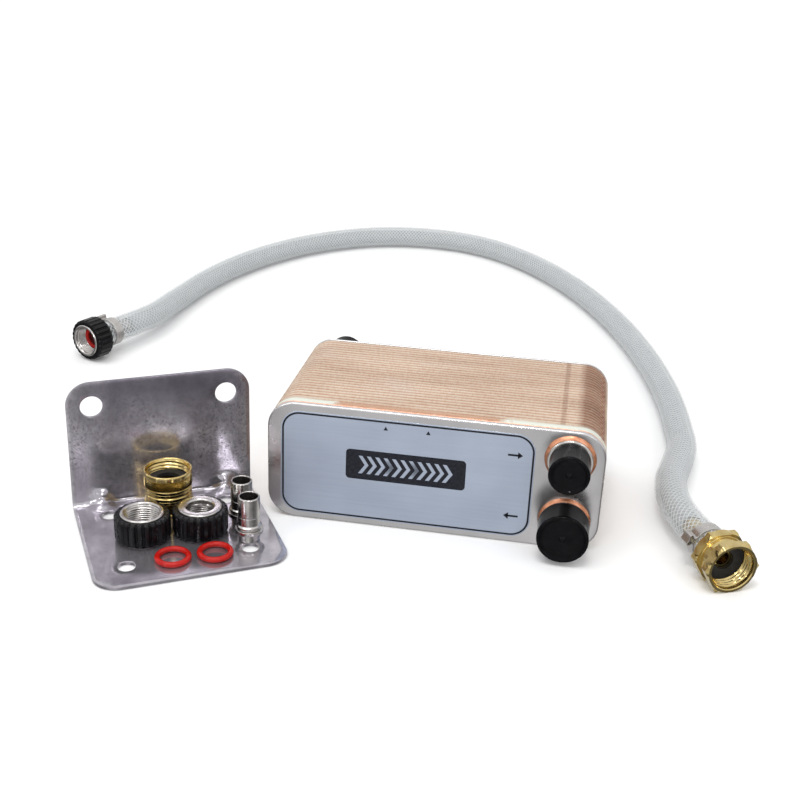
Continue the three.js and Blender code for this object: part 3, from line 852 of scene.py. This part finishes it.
# ---- fittings ----
def grip_sleeve(nut, place):
    """A black sleeve with flat lands and narrow grooves, chamfered at both ends."""
    low, high = NUT["rim"], NUT["rim"] + GRIP["height"]
    inner, outer, chamfer = NUT["radius"] + 0.15, GRIP["radius"], GRIP["chamfer"]
    profile = [(inner, low + 0.3), (inner + 0.3, low), (outer - chamfer - 0.5, low)]
    profile += softened_line([
        (outer - chamfer, low), (outer, low + chamfer), (outer, high - chamfer), (outer - chamfer, high),
    ], 0.35, 1.2)
    profile += [(outer - chamfer - 0.5, high), (inner + 0.3, high), (inner, high - 0.3)]

    def flutes(r, z, angle):
        if r < outer - chamfer - 0.2:
            return r, z
        phase = (angle * GRIP["ribs"] / TURN) % 1
        groove = max(0.0, 1 - abs(phase - 0.5) / 0.24)
        return r - GRIP["flute"] * min(1, 1.5 * groove), z

    add_turned(f"{nut}_grip", profile, GRIP["ribs"] * 20, "grip_plastic", nut, f"{nut}_sleeve", place, flutes)


def softened_line(points, radius, step):
    """An open line with its inner corners rounded and its long edges divided."""
    out = [points[0]]
    for before, here, after in zip(points, points[1:], points[2:]):
        a = Vector(here) + (Vector(before) - Vector(here)).normalized() * radius
        b = Vector(here) + (Vector(after) - Vector(here)).normalized() * radius
        out += subdivided(out[-1], a, step)[1:]
        for k in (1, 2, 3):
            out.append(tuple(a.lerp(Vector(here), k / 3).lerp(Vector(here).lerp(b, k / 3), k / 3)))
    out += subdivided(out[-1], points[-1], step)[1:]
    return out


def nut_steel(nut, place):
    """The steel nut inside a grip: its thread opens at the top, and its lip is at the bottom."""
    top = NUT_HEIGHT
    outer, bore, hole, lip = NUT["radius"], NUT["thread"] + 0.5, NUT["hole"], NUT["lip"]
    profile = softened([
        (hole, 0.8), (hole + 0.8, 0), (outer - 0.5, 0), (outer, 0.5), (outer, top - 0.6),
        (outer - 0.6, top), (bore + 0.8, top), (bore + 0.05, top - 0.8),
    ], 0.15)
    profile += subdivided((bore, top - 1.2), (bore, lip + 1), 0.18)
    profile += [(bore, lip), (hole, lip)]
    shape = threaded(bore, NUT_THREAD, lip + 1, top - 1)
    add_turned(f"{nut}_body", profile, 96, "fitting_steel", nut, f"{nut}_steel", place, shape)


def add_grip_nut(nut, place):
    nut_steel(nut, place)
    grip_sleeve(nut, place)


def add_barb(name):
    tube, bore, shoulder, height = BARB["tube"], BARB["bore"], BARB["shoulder"], BARB["height"]
    profile = softened([
        (bore, 0.4), (bore + 0.4, 0), (tube - 0.5, 0), (tube - 0.1, 1.2), (tube + 0.4, 5),
        (shoulder, 5.4), (shoulder, 7.9), (tube + 0.5, 8.1), (tube + 0.5, 9), (tube + 1.1, 9.2),
        (tube + 1.1, 10.2), (tube, 10.9), (tube, 16), (tube - 0.12, 16.2), (tube, 16.4),
        (tube, height - 0.5), (tube - 0.4, height), (bore + 0.2, height), (bore, height - 0.3),
    ], 0.18)
    add_turned(f"{name}_body", profile, 80, "fitting_steel", name, name, standing(name))


def add_o_ring(node, body, place, ring):
    middle, section = ring["middle"], ring["section"]
    rows = 20
    profile = [
        (middle + section * math.cos(TURN * k / rows), section + section * math.sin(TURN * k / rows))
        for k in range(rows)
    ]
    add_turned(f"{node}_body", profile, 96, "red_silicone", body, node, place, sharp=80)


def coupling_nut(node, place):
    """A brass swivel nut: rim band, straight knurl and a grooved plain band, its thread opening upwards."""
    outer, bore, hole, top = COUPLING["radius"], COUPLING["thread"], COUPLING["hole"], COUPLING["nut"]
    lip, knurl_low, knurl_high = COUPLING["lip"], KNURL["low"], KNURL["high"]
    knurl = outer - 0.35
    profile = softened([
        (hole, 0.5), (hole + 0.5, 0), (outer - 1.0, 0), (outer - 0.4, 0.6), (outer - 0.4, 1.9),
        (outer - 0.75, 2.05), (outer - 0.75, 2.35), (outer - 0.4, 2.5), (outer - 0.4, 3.9),
        (outer - 0.8, 4.1), (outer - 0.8, knurl_low - 0.1),
    ], 0.1, 2)
    profile += subdivided((knurl, knurl_low), (knurl, knurl_high), 1.2)
    profile += softened([
        (outer - 0.9, knurl_high + 0.15), (outer - 0.9, knurl_high + 0.5), (outer - 0.1, knurl_high + 0.8),
        (outer, knurl_high + 1.2), (outer, top - 0.5), (outer - 0.4, top), (bore + 0.8, top),
        (bore + 0.35, top - 0.5),
    ], 0.12, 2)
    profile += subdivided((bore, top - 1.4), (bore, lip + 0.6), 0.28)
    profile += [(bore, lip), (hole, lip)]
    thread = threaded(bore, BRASS_THREAD, lip + 0.6, top - 1.4)

    def shape(r, z, angle):
        if abs(r - knurl) < 0.01 and knurl_low - 0.01 < z < knurl_high + 0.01:
            return r + KNURL["depth"] * math.cos(KNURL["teeth"] * angle) - 0.1, z
        return thread(r, z, angle)

    add_turned(f"{node}_body", profile, KNURL["teeth"] * 4, "brass", node, node, place, shape)


def add_coupling():
    base = standing("coupling_lower_nut")
    lift = (COUPLING["height"] - COUPLING["nut"]) * MM
    coupling_nut("coupling_lower_nut", upside_down(base, COUPLING["nut"]))
    coupling_nut("coupling_upper_nut", base @ Matrix.Translation((0, 0, lift)))


def add_ear_clamp(node, place, start, ear_angle):
    """A stepless clamp: a band round the hose with one pinched ear."""
    inner = HOSE["radius"] + 0.15
    thick, width = EAR_CLAMP["thickness"], EAR_CLAMP["width"]
    neck, crown = 1.7, 3.1
    middle = inner + thick / 2
    tip = middle + EAR_CLAMP["ear"]
    gap = math.asin(2.6 / middle)
    steps = 72
    angles = [gap + (TURN - 2 * gap) * k / steps for k in range(steps + 1)]
    path = [(middle * math.cos(angle), middle * math.sin(angle)) for angle in angles]
    path += [
        (middle + 0.7, -neck), (middle + 1.9, -neck), (middle + 3.1, -crown), (tip - 0.6, -crown),
        (tip, -crown + 0.6), (tip - 0.5, 0), (tip, crown - 0.6), (tip - 0.6, crown),
        (middle + 3.1, crown), (middle + 1.9, neck), (middle + 0.7, neck),
    ]
    half = thick / 2
    section = [
        (-half, 0), (half - 0.2, 0), (half, 0.2), (half, width - 0.2), (half - 0.2, width), (-half, width),
    ]
    points = []
    for i, (x, y) in enumerate(path):
        ahead = Vector(path[(i + 1) % len(path)]) - Vector(path[i - 1])
        normal = Vector((ahead.y, -ahead.x)).normalized()
        points += [(x + normal.x * out, y + normal.y * out, start + height) for out, height in section]
    faces = ring_faces(len(path), len(section), closed=True)
    for k in range(5):
        add_ring_mark(points, faces, inner + thick, math.radians(40 + 26 * k), start + width / 2)
    turned_place = place @ Matrix.Rotation(ear_angle, 4, "Z")
    add_piece(f"{node}_body", points, faces, "clamp_steel", "hose", [node], turned_place, sharp=30)


def add_ring_mark(points, faces, radius, angle, height):
    """Adds a small stamped ring to a band's outside: four hoops of points that stand a little proud."""
    steps = 20
    first = len(points)
    hoops = ((1.25, -0.1), (1.15, 0.1), (0.75, 0.1), (0.65, -0.1))
    for reach, proud in hoops:
        for k in range(steps):
            around = angle + reach * math.cos(TURN * k / steps) / radius
            up = height + reach * math.sin(TURN * k / steps)
            points.append(((radius + proud) * math.cos(around), (radius + proud) * math.sin(around), up))
    faces += ring_faces(len(hoops), steps, first, closed=True)


def hose_barb(node, place, seat, flange, neck, hose_start, reach, look):
    """A barb with a flange in its nut, a neck through the nut's hole and ribs inside the hose."""
    bore, tail, tail_end = 4.6, HOSE["bore"] - 0.6, hose_start + reach
    ribs = []
    for k in range(5):
        low = hose_start + 2 + k * 4.6
        ribs += [(tail, low), (tail - 0.55, low + 0.4), (tail - 0.5, low + 1.4)]
    profile = [
        (bore, seat), (flange - 0.3, seat), (flange, seat + 0.3), (flange, seat + BARB_FLANGE - 0.3),
        (flange - 0.3, seat + BARB_FLANGE), (neck, seat + BARB_FLANGE), (neck, hose_start - 1.6),
        (neck - 0.3, hose_start - 1.2), (neck - 0.3, hose_start - 0.4), (tail, hose_start - 0.3), *ribs,
        (tail, tail_end - 2), (tail - 0.8, tail_end), (bore, tail_end),
    ]
    add_turned(f"{node}_body", profile, 72, look, "hose", node, place)


def hex_nut(place):
    """Two chamfered hexagonal flanges with a turned groove between them; the mouth is at z = 0."""
    length, flange = HEX_NUT["length"], HEX_NUT["flange"]
    bore, hole, groove = HEX_NUT["bore"], HEX_NUT["hole"], HEX_NUT["groove"]
    half = HEX_NUT["flats"] / 2
    crown = half / math.cos(math.pi / 6)
    lip = length - HEX_NUT["lip"]
    profile = [
        (bore + 0.5, 0), (crown - 2.2, 0), (crown, 1.3), (crown, flange - 1.0), (crown - 1.5, flange),
        (groove + 0.3, flange), (groove, flange + 0.3), (groove, length - flange - 0.3),
        (groove + 0.3, length - flange), (crown - 1.5, length - flange), (crown, length - flange + 1.0),
        (crown, length - 1.3), (crown - 2.2, length), (hole + 0.5, length), (hole, length - 0.5),
        (hole, lip), (bore, lip), *subdivided((bore, lip - 0.8), (bore, 1.2), 0.3), (bore, 0.6),
    ]
    thread = threaded(bore, BRASS_THREAD, 1.2, lip - 0.8)

    def shape(r, z, angle):
        if r > groove + 0.35:
            facing = (angle + math.pi / 6) % (math.pi / 3) - math.pi / 6
            return min(r, half / math.cos(facing)), z
        return thread(r, z, angle)

    nut = "hose_hex_nut"
    place = place @ Matrix.Rotation(HEX_NUT_TURN, 4, "Z")
    add_turned(f"{nut}_body", profile, 144, "brass", nut, nut, place, shape, sharp=24)


def add_hose_ends():
    left, start = end_place(HOSE_ROUTE[0], HOSE_ROUTE[1], LEFT_HOSE_START), LEFT_HOSE_START
    add_grip_nut("hose_grip_nut", upside_down(left, NUT_HEIGHT))
    seat = NUT_HEIGHT - NUT["lip"] - FLANGE_GAP - BARB_FLANGE
    hose_barb("hose_left_barb", left, seat, 9.8, 7.9, start, BARB_REACH["left"], "fitting_steel")
    add_ear_clamp("hose_left_clamp", left, start + CLAMP_INSET["left"], LEFT_EAR_TURN)
    ring_foot = (seat - 0.3 - 2 * SEAL_RING["section"]) * MM
    add_o_ring("hose_left_seal", "hose", left @ Matrix.Translation((0, 0, ring_foot)), SEAL_RING)

    right, start = end_place(HOSE_ROUTE[-1], HOSE_ROUTE[-2], RIGHT_HOSE_START), RIGHT_HOSE_START
    hex_nut(right)
    seat = HEX_NUT["length"] - HEX_NUT["lip"] - FLANGE_GAP - BARB_FLANGE
    hose_barb("hose_right_barb", right, seat, 12.8, 9, start, BARB_REACH["right"], "brass")
    add_ear_clamp("hose_right_clamp", right, start + CLAMP_INSET["right"], RIGHT_EAR_TURN)


# ---- chiller ----
def facing_out(node, outward):
    """A placing at the middle of a port's foot, on the cover plate, whose +Z points out of the plate."""
    centre = box_centre(node)
    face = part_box("front_cover_plate")[0].y if outward < 0 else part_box("back_cover_plate")[1].y
    return along(Vector((centre.x, face, centre.z)), (0, outward, 0))


def port_centre(node):
    centre = box_centre(node)
    return centre.x / MM, centre.z / MM


def add_port(name, outward, size):
    """A threaded nipple on a collar, the braze round its foot, and its cap."""
    place = facing_out(f"{name}_port", outward)
    nipple, bore, collar, braze = size["nipple"], size["bore"], size["collar"], size["braze"]
    top, shelf = PORT_HEIGHT, COLLAR_HEIGHT
    profile = softened([
        (bore, -2.3), (nipple, -2.3), (nipple, 0.2), (collar, 0.2), (collar, shelf - 1.4),
        (collar - 0.5, shelf - 1.2), (collar - 0.5, shelf - 0.8), (collar, shelf - 0.6),
        (collar - 0.2, shelf), (nipple, shelf), (nipple, top - 1), (nipple - 1, top), (bore + 0.4, top),
        (bore, top - 0.4),
    ], 0.2)
    dense = []
    for here, after in zip(profile, profile[1:] + profile[:1]):
        on_thread = abs(here[0] - nipple) < 0.01 and here[1] > shelf
        dense += subdivided(here, after, 0.3)[:-1] if on_thread else [here]
    thread = threaded(nipple, PORT_THREAD, shelf + 2, top - 1.1)
    add_turned(f"{name}_nipple", dense, 96, "port_steel", "chiller", f"{name}_port", place, thread)

    def flowed(r, z, angle):
        spot = Vector((math.cos(angle) * 2.2, math.sin(angle) * 2.2, len(name)))
        edge = (r - collar) / (braze - collar)
        return r + 0.35 * edge * noise.noise(spot), z + 0.12 * noise.noise(spot * 3)

    ring = [
        (collar - 0.3, 0.05), (braze, 0.05), (braze - 0.15, 0.35), (braze - 0.6, 0.8),
        (collar + 0.6, 1.35), (collar + 0.1, 1.75), (collar - 0.3, 1.8),
    ]
    node = f"{name}_braze_ring"
    add_turned(f"{name}_braze", ring, 96, "braze_copper", "chiller", node, place, flowed, sharp=60)
    add_cap(f"{name}_cap", place, size)


def add_cap(name, place, size):
    """A dipped vinyl cap: a rolled edge round a dished face with a small nub."""
    inner = size["nipple"] + CAP["slack"]
    outer = inner + size["wall"]
    mouth, floor = COLLAR_HEIGHT + CAP["gap"], PORT_HEIGHT + CAP["gap"]
    crown = floor + CAP["crown"]
    rim = outer - 1.1
    profile = [
        (0, floor), *subdivided((inner * 0.5, floor), (inner - 0.8, floor), 2), (inner, floor - 0.8),
        (inner, mouth + 0.3), (inner + 0.3, mouth), (outer - 0.1, mouth), (outer + 0.12, mouth + 0.4),
        (outer + 0.05, mouth + 1.2), (outer - 0.12, mouth + 2.4), (outer - 0.15, 12),
        (outer - 0.08, crown - 2.2), (outer, crown - 1.4), (outer - 0.12, crown - 0.7),
        (outer - 0.5, crown - 0.15), (rim, crown + 0.05), (rim - 0.7, crown - 0.12),
        (rim - 1.3, crown - 0.55), (rim - 2.2, crown - 0.85), (rim - 4, crown - 0.95), (2.4, crown - 0.75),
        (1.6, crown - 0.5), (1.1, crown + 0.15), (0.6, crown + 0.35), (0, crown + 0.4),
    ]

    def slack(r, z, angle):
        spot = Vector((r * math.cos(angle), r * math.sin(angle), z)) * 0.16 + Vector((len(name), 0, 0))
        if z > mouth + 1 and r > 0.5:
            return r + 0.10 * noise.noise(spot), z + (0.14 * noise.noise(spot * 1.7) if z > floor else 0)
        return r, z

    add_turned(f"{name}_shell", profile, 96, "cap_vinyl", name, name, place, slack, sharp=50)


def front_box(node):
    """A CAD node's left, bottom, right and top as seen from the front, in millimetres."""
    low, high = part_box(node)
    return low.x / MM, low.z / MM, high.x / MM, high.z / MM


def chiller_loop(step, arc_steps):
    return rounded_rectangle(*front_box("seal_plate"), [CORNER] * 4, arc_steps, step)


def channel_holes():
    ends = [port_centre(f"{name}_port") for name in ("wort_in", "water_out", "wort_out", "water_in")]
    return [circle(x, z, CHANNEL, 24) for x, z in ends]


def add_cover(node, names, outward):
    """A cover plate with a rounded outer edge, bored for its two ports."""
    low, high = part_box(node)
    outer, inner = (low.y / MM, high.y / MM) if outward < 0 else (high.y / MM, low.y / MM)
    inward = -outward
    holes = []
    for name, size in names:
        x, z = port_centre(f"{name}_port")
        holes.append(circle(x, z, size["nipple"] + 0.1, 48))
    layers = [(EDGE * 1.3, 0), (0.62 * EDGE, 0.12), (0.25 * EDGE, 0.4), (0, 0.95), (0, 2.2), (0.25, 2.5)]
    outline = chiller_loop(12, 16)
    points, faces, _ = sheet(outline, holes, layers, lambda u, v, h: (u, outer + inward * h, v))
    add_piece(f"{node}_sheet", points, faces, "cover_steel", "chiller", [node])


def add_seal_plate():
    """The pale plate, with a line of copper braze where it meets the cover."""
    low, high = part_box("seal_plate")
    front, back = low.y / MM, high.y / MM
    layers = [
        (0.45, front - 0.3), (0.2, front + 0.05), (0.3, front + 0.5), (0.02, front + 0.75),
        (0, front + 1.4), (0.1, back - 0.4), (0.5, back),
    ]

    def put(u, v, y):
        drift = 0.16 * noise.noise(Vector((u, v, y)) * 0.12)
        return u, y + drift, v

    points, faces, looks = sheet(chiller_loop(3, 12), channel_holes(), layers, put, bands=(1, 1, 1))
    add_piece(
        "seal_plate_sheet", points, faces, "pale_plate", "chiller", ["seal_plate"], looks=("braze_line",),
        face_looks=looks,
    )


def crimp_at(u, v, plate):
    """How strongly the rims are crimped at a point, 0 to 1, and its angle in degrees round a corner."""
    left, bottom, right, top = plate
    across = abs(u - (left + right) / 2) - ((right - left) / 2 - CORNER)
    up = abs(v - (bottom + top) / 2) - ((top - bottom) / 2 - CORNER)
    if across <= 0 or up <= 0:
        return 0.0, 0.0
    angle = math.degrees(math.atan2(up, across))
    return max(0.0, 1 - abs(angle - CRIMP["angle"]) / CRIMP["spread"]), angle


def add_plate_pair(number):
    """A pair of wavy plates, whose rims show as two ribs; two attributes say where lips and crimps are."""
    node = f"plate_pair_{number:02d}"
    low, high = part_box(node)
    front, back = low.y / MM - 0.15, high.y / MM + 0.15
    pitch = (back - front) / 2
    plate = front_box("seal_plate")
    layers, proud = [], []
    for rib in range(2):
        for inset, share, height in RIB_LAYERS:
            layers.append((inset, front + (rib + share) * pitch))
            proud.append(height)
    layers.append((RIB_LAYERS[0][0], back))
    proud.append(0.0)
    loop = chiller_loop(1.1, 24)
    holes = channel_holes()

    def put(u, v, y):
        broad = 0.34 * noise.noise(Vector((u * 0.05, v * 0.05, y * 0.9)))
        fine = 0.12 * noise.noise(Vector((u, v, y * 2)) * 0.3)
        crimp, angle = crimp_at(u, v, plate)
        rib = round((y - front) / pitch)
        wave = CRIMP["depth"] * crimp * math.sin(math.radians(angle) * CRIMP["waves"] + math.pi * rib)
        return u, y + broad + fine + wave, v

    points, faces, _ = sheet(loop, holes, layers, put)
    piece = add_piece(f"{node}_rims", points, faces, "copper_plates", "chiller", [node], sharp=70)
    ring = len(loop(0)) + sum(len(hole(0)) for hole in holes)
    mesh = piece.data
    rib = mesh.attributes.new("rib", "FLOAT", "POINT")
    crimp = mesh.attributes.new("crimp", "FLOAT", "POINT")
    for i, vertex in enumerate(mesh.vertices):
        rib.data[i].value = proud[min(i // ring, len(proud) - 1)]
        crimp.data[i].value = crimp_at(vertex.co.x / MM, vertex.co.z / MM, plate)[0]


def add_label():
    """Foil with a silver rim, an ink line set in from it, and a printed panel of plain marks."""
    low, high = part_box("label_plate")
    outline = rounded_rectangle(*front_box("label_plate"), [LABEL_CORNER] * 4, 16, 20)
    face, foot = low.y / MM, high.y / MM + 0.05
    rim, line = LABEL_RIM, LABEL_RIM + LABEL_LINE
    layers = [(line, face), (rim, face), (0.06, face), (0, face + 0.06), (0, foot)]
    points, faces, looks = sheet(outline, [], layers, lambda u, v, y: (u, y, v), bands=(1,))
    add_piece(
        "label_sheet", points, faces, "label_foil", "chiller", ["label_plate"], looks=("label_ink",),
        face_looks=looks,
    )
    add_label_marks(low / MM, high / MM)


def bar(x0, z0, x1, z1, width):
    """A straight stroke from one point to another."""
    ahead = Vector((x1 - x0, z1 - z0)).normalized() * (width / 2)
    side = Vector((-ahead.y, ahead.x))
    a, b = Vector((x0, z0)), Vector((x1, z1))
    return [tuple(a - side), tuple(b - side), tuple(b + side), tuple(a + side)]


def arrow(x, z, inward):
    """A short level arrow, pointing to +X or to -X."""
    tail, tip = x - 4.5 * inward, x + 4.5 * inward
    head = tip - 3 * inward
    return [bar(tail, z, tip - 2 * inward, z, 1.3), [(tip, z), (head, z + 2.3), (head, z - 2.3)]]


def add_label_marks(low, high):
    """An ink panel with a row of plate ridges left bare, two up marks and a flow arrow by each port."""
    face = low.y
    x, z = (low.x + high.x) / 2, (low.z + high.z) / 2 + PANEL["lift"]
    wide, tall = PANEL["width"] / 2, PANEL["height"] / 2
    panel = rounded_rectangle(x - wide, z - tall, x + wide, z + tall, [PANEL["corner"]] * 4, 6)
    ink = [panel(0)]
    for port_z, inward in ((high.z - 14, 1), (low.z + 14, -1)):
        ink += arrow(high.x - 12, port_z, inward)
    for side in (-1, 1):
        mark = x + side * 13
        ink.append([(mark - 1.4, high.z - 6.8), (mark + 1.4, high.z - 6.8), (mark, high.z - 4.2)])
    add_print("label_ink_marks", ink, face, "label_ink")
    bare = []
    reach = tall - 4
    for k in range(PANEL["ridges"]):
        left = x + (k - (PANEL["ridges"] - 1) / 2) * PANEL["pitch"]
        for end in (z - reach, z + reach):
            bare.append([(left - 3.2, end), (left - 0.8, end), (left + 3.2, z), (left + 0.8, z)])
    add_print("label_bare_marks", bare, face - PRINT_THICKNESS, "label_foil")


def add_print(name, shapes, face, look):
    """Flat marks on a face at y = face, which they reach a little into."""
    points, faces = [], []
    for shape in shapes:
        first = len(points)
        count = len(shape)
        points += [(x, face - PRINT_THICKNESS, z) for x, z in shape]
        points += [(x, face + 0.01, z) for x, z in shape]
        faces.append(tuple(range(first, first + count)))
        faces.append(tuple(reversed(range(first + count, first + 2 * count))))
        faces += ring_faces(2, count, first)
    add_piece(name, points, faces, look, "chiller")


# ---- bracket ----
def add_bracket():
    """One bent sheet: a shelf with four holes and an upright with two, pressed in at two gussets."""
    width, depth, thick, bend = BRACKET["width"], BRACKET["depth"], BRACKET["sheet"], BRACKET["bend"]
    flat = depth - bend
    neutral = bend - thick / 2
    arc = QUARTER * neutral
    length = flat + arc + (BRACKET["height"] - bend)
    outline = rounded_rectangle(0, 0, width, length, [BRACKET["corner"]] * 4, 14, 4)
    holes = bracket_holes(flat + arc)

    def put(u, s, h):
        """s runs along the sheet from the shelf's front edge; h is 0 on the inside and thick outside."""
        out = thick / 2 - h
        if s <= flat:
            y, z, normal = s, thick / 2, (0, 1)
        elif s <= flat + arc:
            turn = (s - flat) / neutral
            y = flat + neutral * math.sin(turn)
            z = bend - neutral * math.cos(turn)
            normal = (-math.sin(turn), math.cos(turn))
        else:
            y, z, normal = depth - thick / 2, bend + s - flat - arc, (-1, 0)
        press = gusset_press(u, s - flat - arc / 2) * math.sqrt(0.5)
        return u, y - press + normal[0] * out, z + press + normal[1] * out

    inner = bracket_inner_points(holes, flat + arc / 2, length)
    layers = [(0.35, 0), (0.1, 0.12), (0, 0.4), (0, thick - 0.4), (0.1, thick - 0.12), (0.35, thick)]
    rims = [circle(*centre, radius, 40) for centre, radius in holes]
    points, faces, _ = sheet(outline, rims, layers, put, inner)
    place = Matrix.Translation(BRACKET_PLACE) @ Matrix.Rotation(BRACKET_TURN, 4, "Z")
    add_piece("bracket_plate", points, faces, "bracket_steel", "bracket", ["bracket_sheet"], place, sharp=40)


def bracket_holes(bend_end):
    """Each hole's centre on the flat sheet, and its radius."""
    found = []
    for x in (SHELF_HOLE["inset"], BRACKET["width"] - SHELF_HOLE["inset"]):
        found += [((x, SHELF_HOLE[row]), SHELF_HOLE["radius"]) for row in ("front", "back")]
    for x in (UPRIGHT_HOLE["inset"], BRACKET["width"] - UPRIGHT_HOLE["inset"]):
        found.append(((x, bend_end + UPRIGHT_HOLE["height"] - BRACKET["bend"]), UPRIGHT_HOLE["radius"]))
    return found


def gusset_aside(u):
    """How far a point is from the nearer gusset's middle, across the sheet."""
    return min(abs(u - GUSSET["inset"]), abs(u - BRACKET["width"] + GUSSET["inset"]))


def gusset_press(u, s):
    """How far the corner is pushed in at a gusset: a round-backed dimple across the bend."""
    aside = gusset_aside(u) / (GUSSET["spread"] * GUSSET["width"])
    reach = abs(s) / GUSSET["leg"]
    if aside >= 1 or reach >= 1:
        return 0.0
    return GUSSET["press"] * (1 - aside * aside) ** 2 * (1 - reach * reach) ** 2


def bracket_inner_points(holes, bend_middle, length):
    """Points inside the flat sheet, clear of its edges and holes, and close together at the gussets."""
    margin = SHEET_POINTS["margin"]
    inner = []
    s = 3.0
    while s < length - 2:
        fine = abs(s - bend_middle) < SHEET_POINTS["fine_along"]
        u = 3.0
        while u < BRACKET["width"] - 2.5:
            clear = all(math.dist((u, s), centre) > radius + margin for centre, radius in holes)
            if clear and corner_clear(u, s, length):
                inner.append((u, s))
            at_gusset = fine and gusset_aside(u) < SHEET_POINTS["fine_across"]
            u += SHEET_POINTS["fine"] if at_gusset else SHEET_POINTS["across"]
        s += SHEET_POINTS["fine"] if fine else SHEET_POINTS["along"]
    return inner


def corner_clear(u, s, length):
    """False for a point outside the sheet's rounded corners."""
    corner = BRACKET["corner"]
    cu = min(max(u, corner), BRACKET["width"] - corner)
    cs = min(max(s, corner), length - corner)
    return math.dist((u, s), (cu, cs)) < corner - SHEET_POINTS["margin"] or (cu == u or cs == s)


# ---- stage and light ----
def add_stage():
    """A wide floor, a little below the pieces that rest on it, which mirrors don't see."""
    mesh = bpy.data.meshes.new("floor")
    size = 200
    corners = [(-size, -size, 0), (size, -size, 0), (size, size, 0), (-size, size, 0)]
    mesh.from_pydata(corners, [], [(0, 1, 2, 3)])
    mesh.materials.append(floor_pale())
    floor = bpy.data.objects.new("floor", mesh)
    floor.location.z = -0.0004
    bpy.context.scene.collection.objects.link(floor)
    floor.visible_glossy = False


def add_light(data, place, direction):
    """Hangs a lamp at a place, pointing in a direction."""
    lamp = bpy.data.objects.new(data.name, data)
    lamp.location = place
    lamp.rotation_mode = "QUATERNION"
    lamp.rotation_quaternion = Vector(direction).to_track_quat("-Z", "Y")
    bpy.context.scene.collection.objects.link(lamp)


def add_lamp(name, place, size, power):
    data = bpy.data.lights.new(name, "AREA")
    data.shape = "RECTANGLE"
    data.size, data.size_y = size
    data.energy = power
    add_light(data, place, Vector(LAMP_TARGET) - Vector(place))


def add_world():
    """Soft surroundings. Above the horizon they are nearly even. Below it, which only reflections see,
    they are bright in front and behind, and darker to the sides."""
    world = bpy.data.worlds.new("studio")
    bpy.context.scene.world = world
    world.use_nodes = True
    split = world.node_tree.nodes.new("ShaderNodeSeparateXYZ")
    link(world, coordinates(world, kind="Generated"), split.inputs[0])
    x, y, z = split.outputs
    around = math_node(world, "ARCTAN2", x, math_node(world, "MULTIPLY", y, -1.0))  # 0 towards the camera
    around = between(world, around, -math.pi, math.pi)
    low = ramp(world, around, *((0.5 + degrees / 360, value) for degrees, value in LOW_SURROUND))
    high = ramp(world, z, *HIGH_SURROUND)
    colour = mixed(world, between(world, z, -0.06, 0.06), low, high)
    background = world.node_tree.nodes["Background"]
    link(world, colour, background.inputs["Color"])
    background.inputs["Strength"].default_value = 1.0


def add_sun(name, direction, strength, angle):
    data = bpy.data.lights.new(name, "SUN")
    data.energy = strength
    data.angle = math.radians(angle)
    add_light(data, (0, 0, 0), direction)


def main():
    add_camera()
    hose, line = add_hose()
    braid = add_braid(line)
    add_hose_ends()
    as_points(line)

    add_cover("front_cover_plate", (("wort_in", SMALL_PORT), ("water_out", LARGE_PORT)), -1)
    add_cover("back_cover_plate", (("wort_out", SMALL_PORT), ("water_in", LARGE_PORT)), 1)
    add_seal_plate()
    for number in range(1, PAIR_COUNT + 1):
        add_plate_pair(number)
    add_label()
    add_port("wort_in", -1, SMALL_PORT)
    add_port("water_out", -1, LARGE_PORT)
    add_port("wort_out", 1, SMALL_PORT)
    add_port("water_in", 1, LARGE_PORT)

    add_bracket()
    add_coupling()
    add_grip_nut("grip_nut_a", standing("grip_nut_a_steel"))
    add_grip_nut("grip_nut_b", upside_down(standing("grip_nut_b_steel"), NUT_HEIGHT))
    add_barb("barb_a")
    add_barb("barb_b")
    for node in ("o_ring_a", "o_ring_b"):
        add_o_ring(node, node, standing(node), LOOSE_RING)
    for node, look in CARRIED_OVER.items():
        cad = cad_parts[node]
        cad.data.materials.clear()
        cad.data.materials.append(materials[look])

    add_stage()
    add_world()
    add_sun("overhead", (0.25, 0.25, -1), 0.6, 30)
    for name, (place, size, power) in LAMPS.items():
        add_lamp(name, place, size, power)
    scene = bpy.context.scene
    scene.view_settings.view_transform = "Standard"
    scene.view_settings.look = "None"


main()
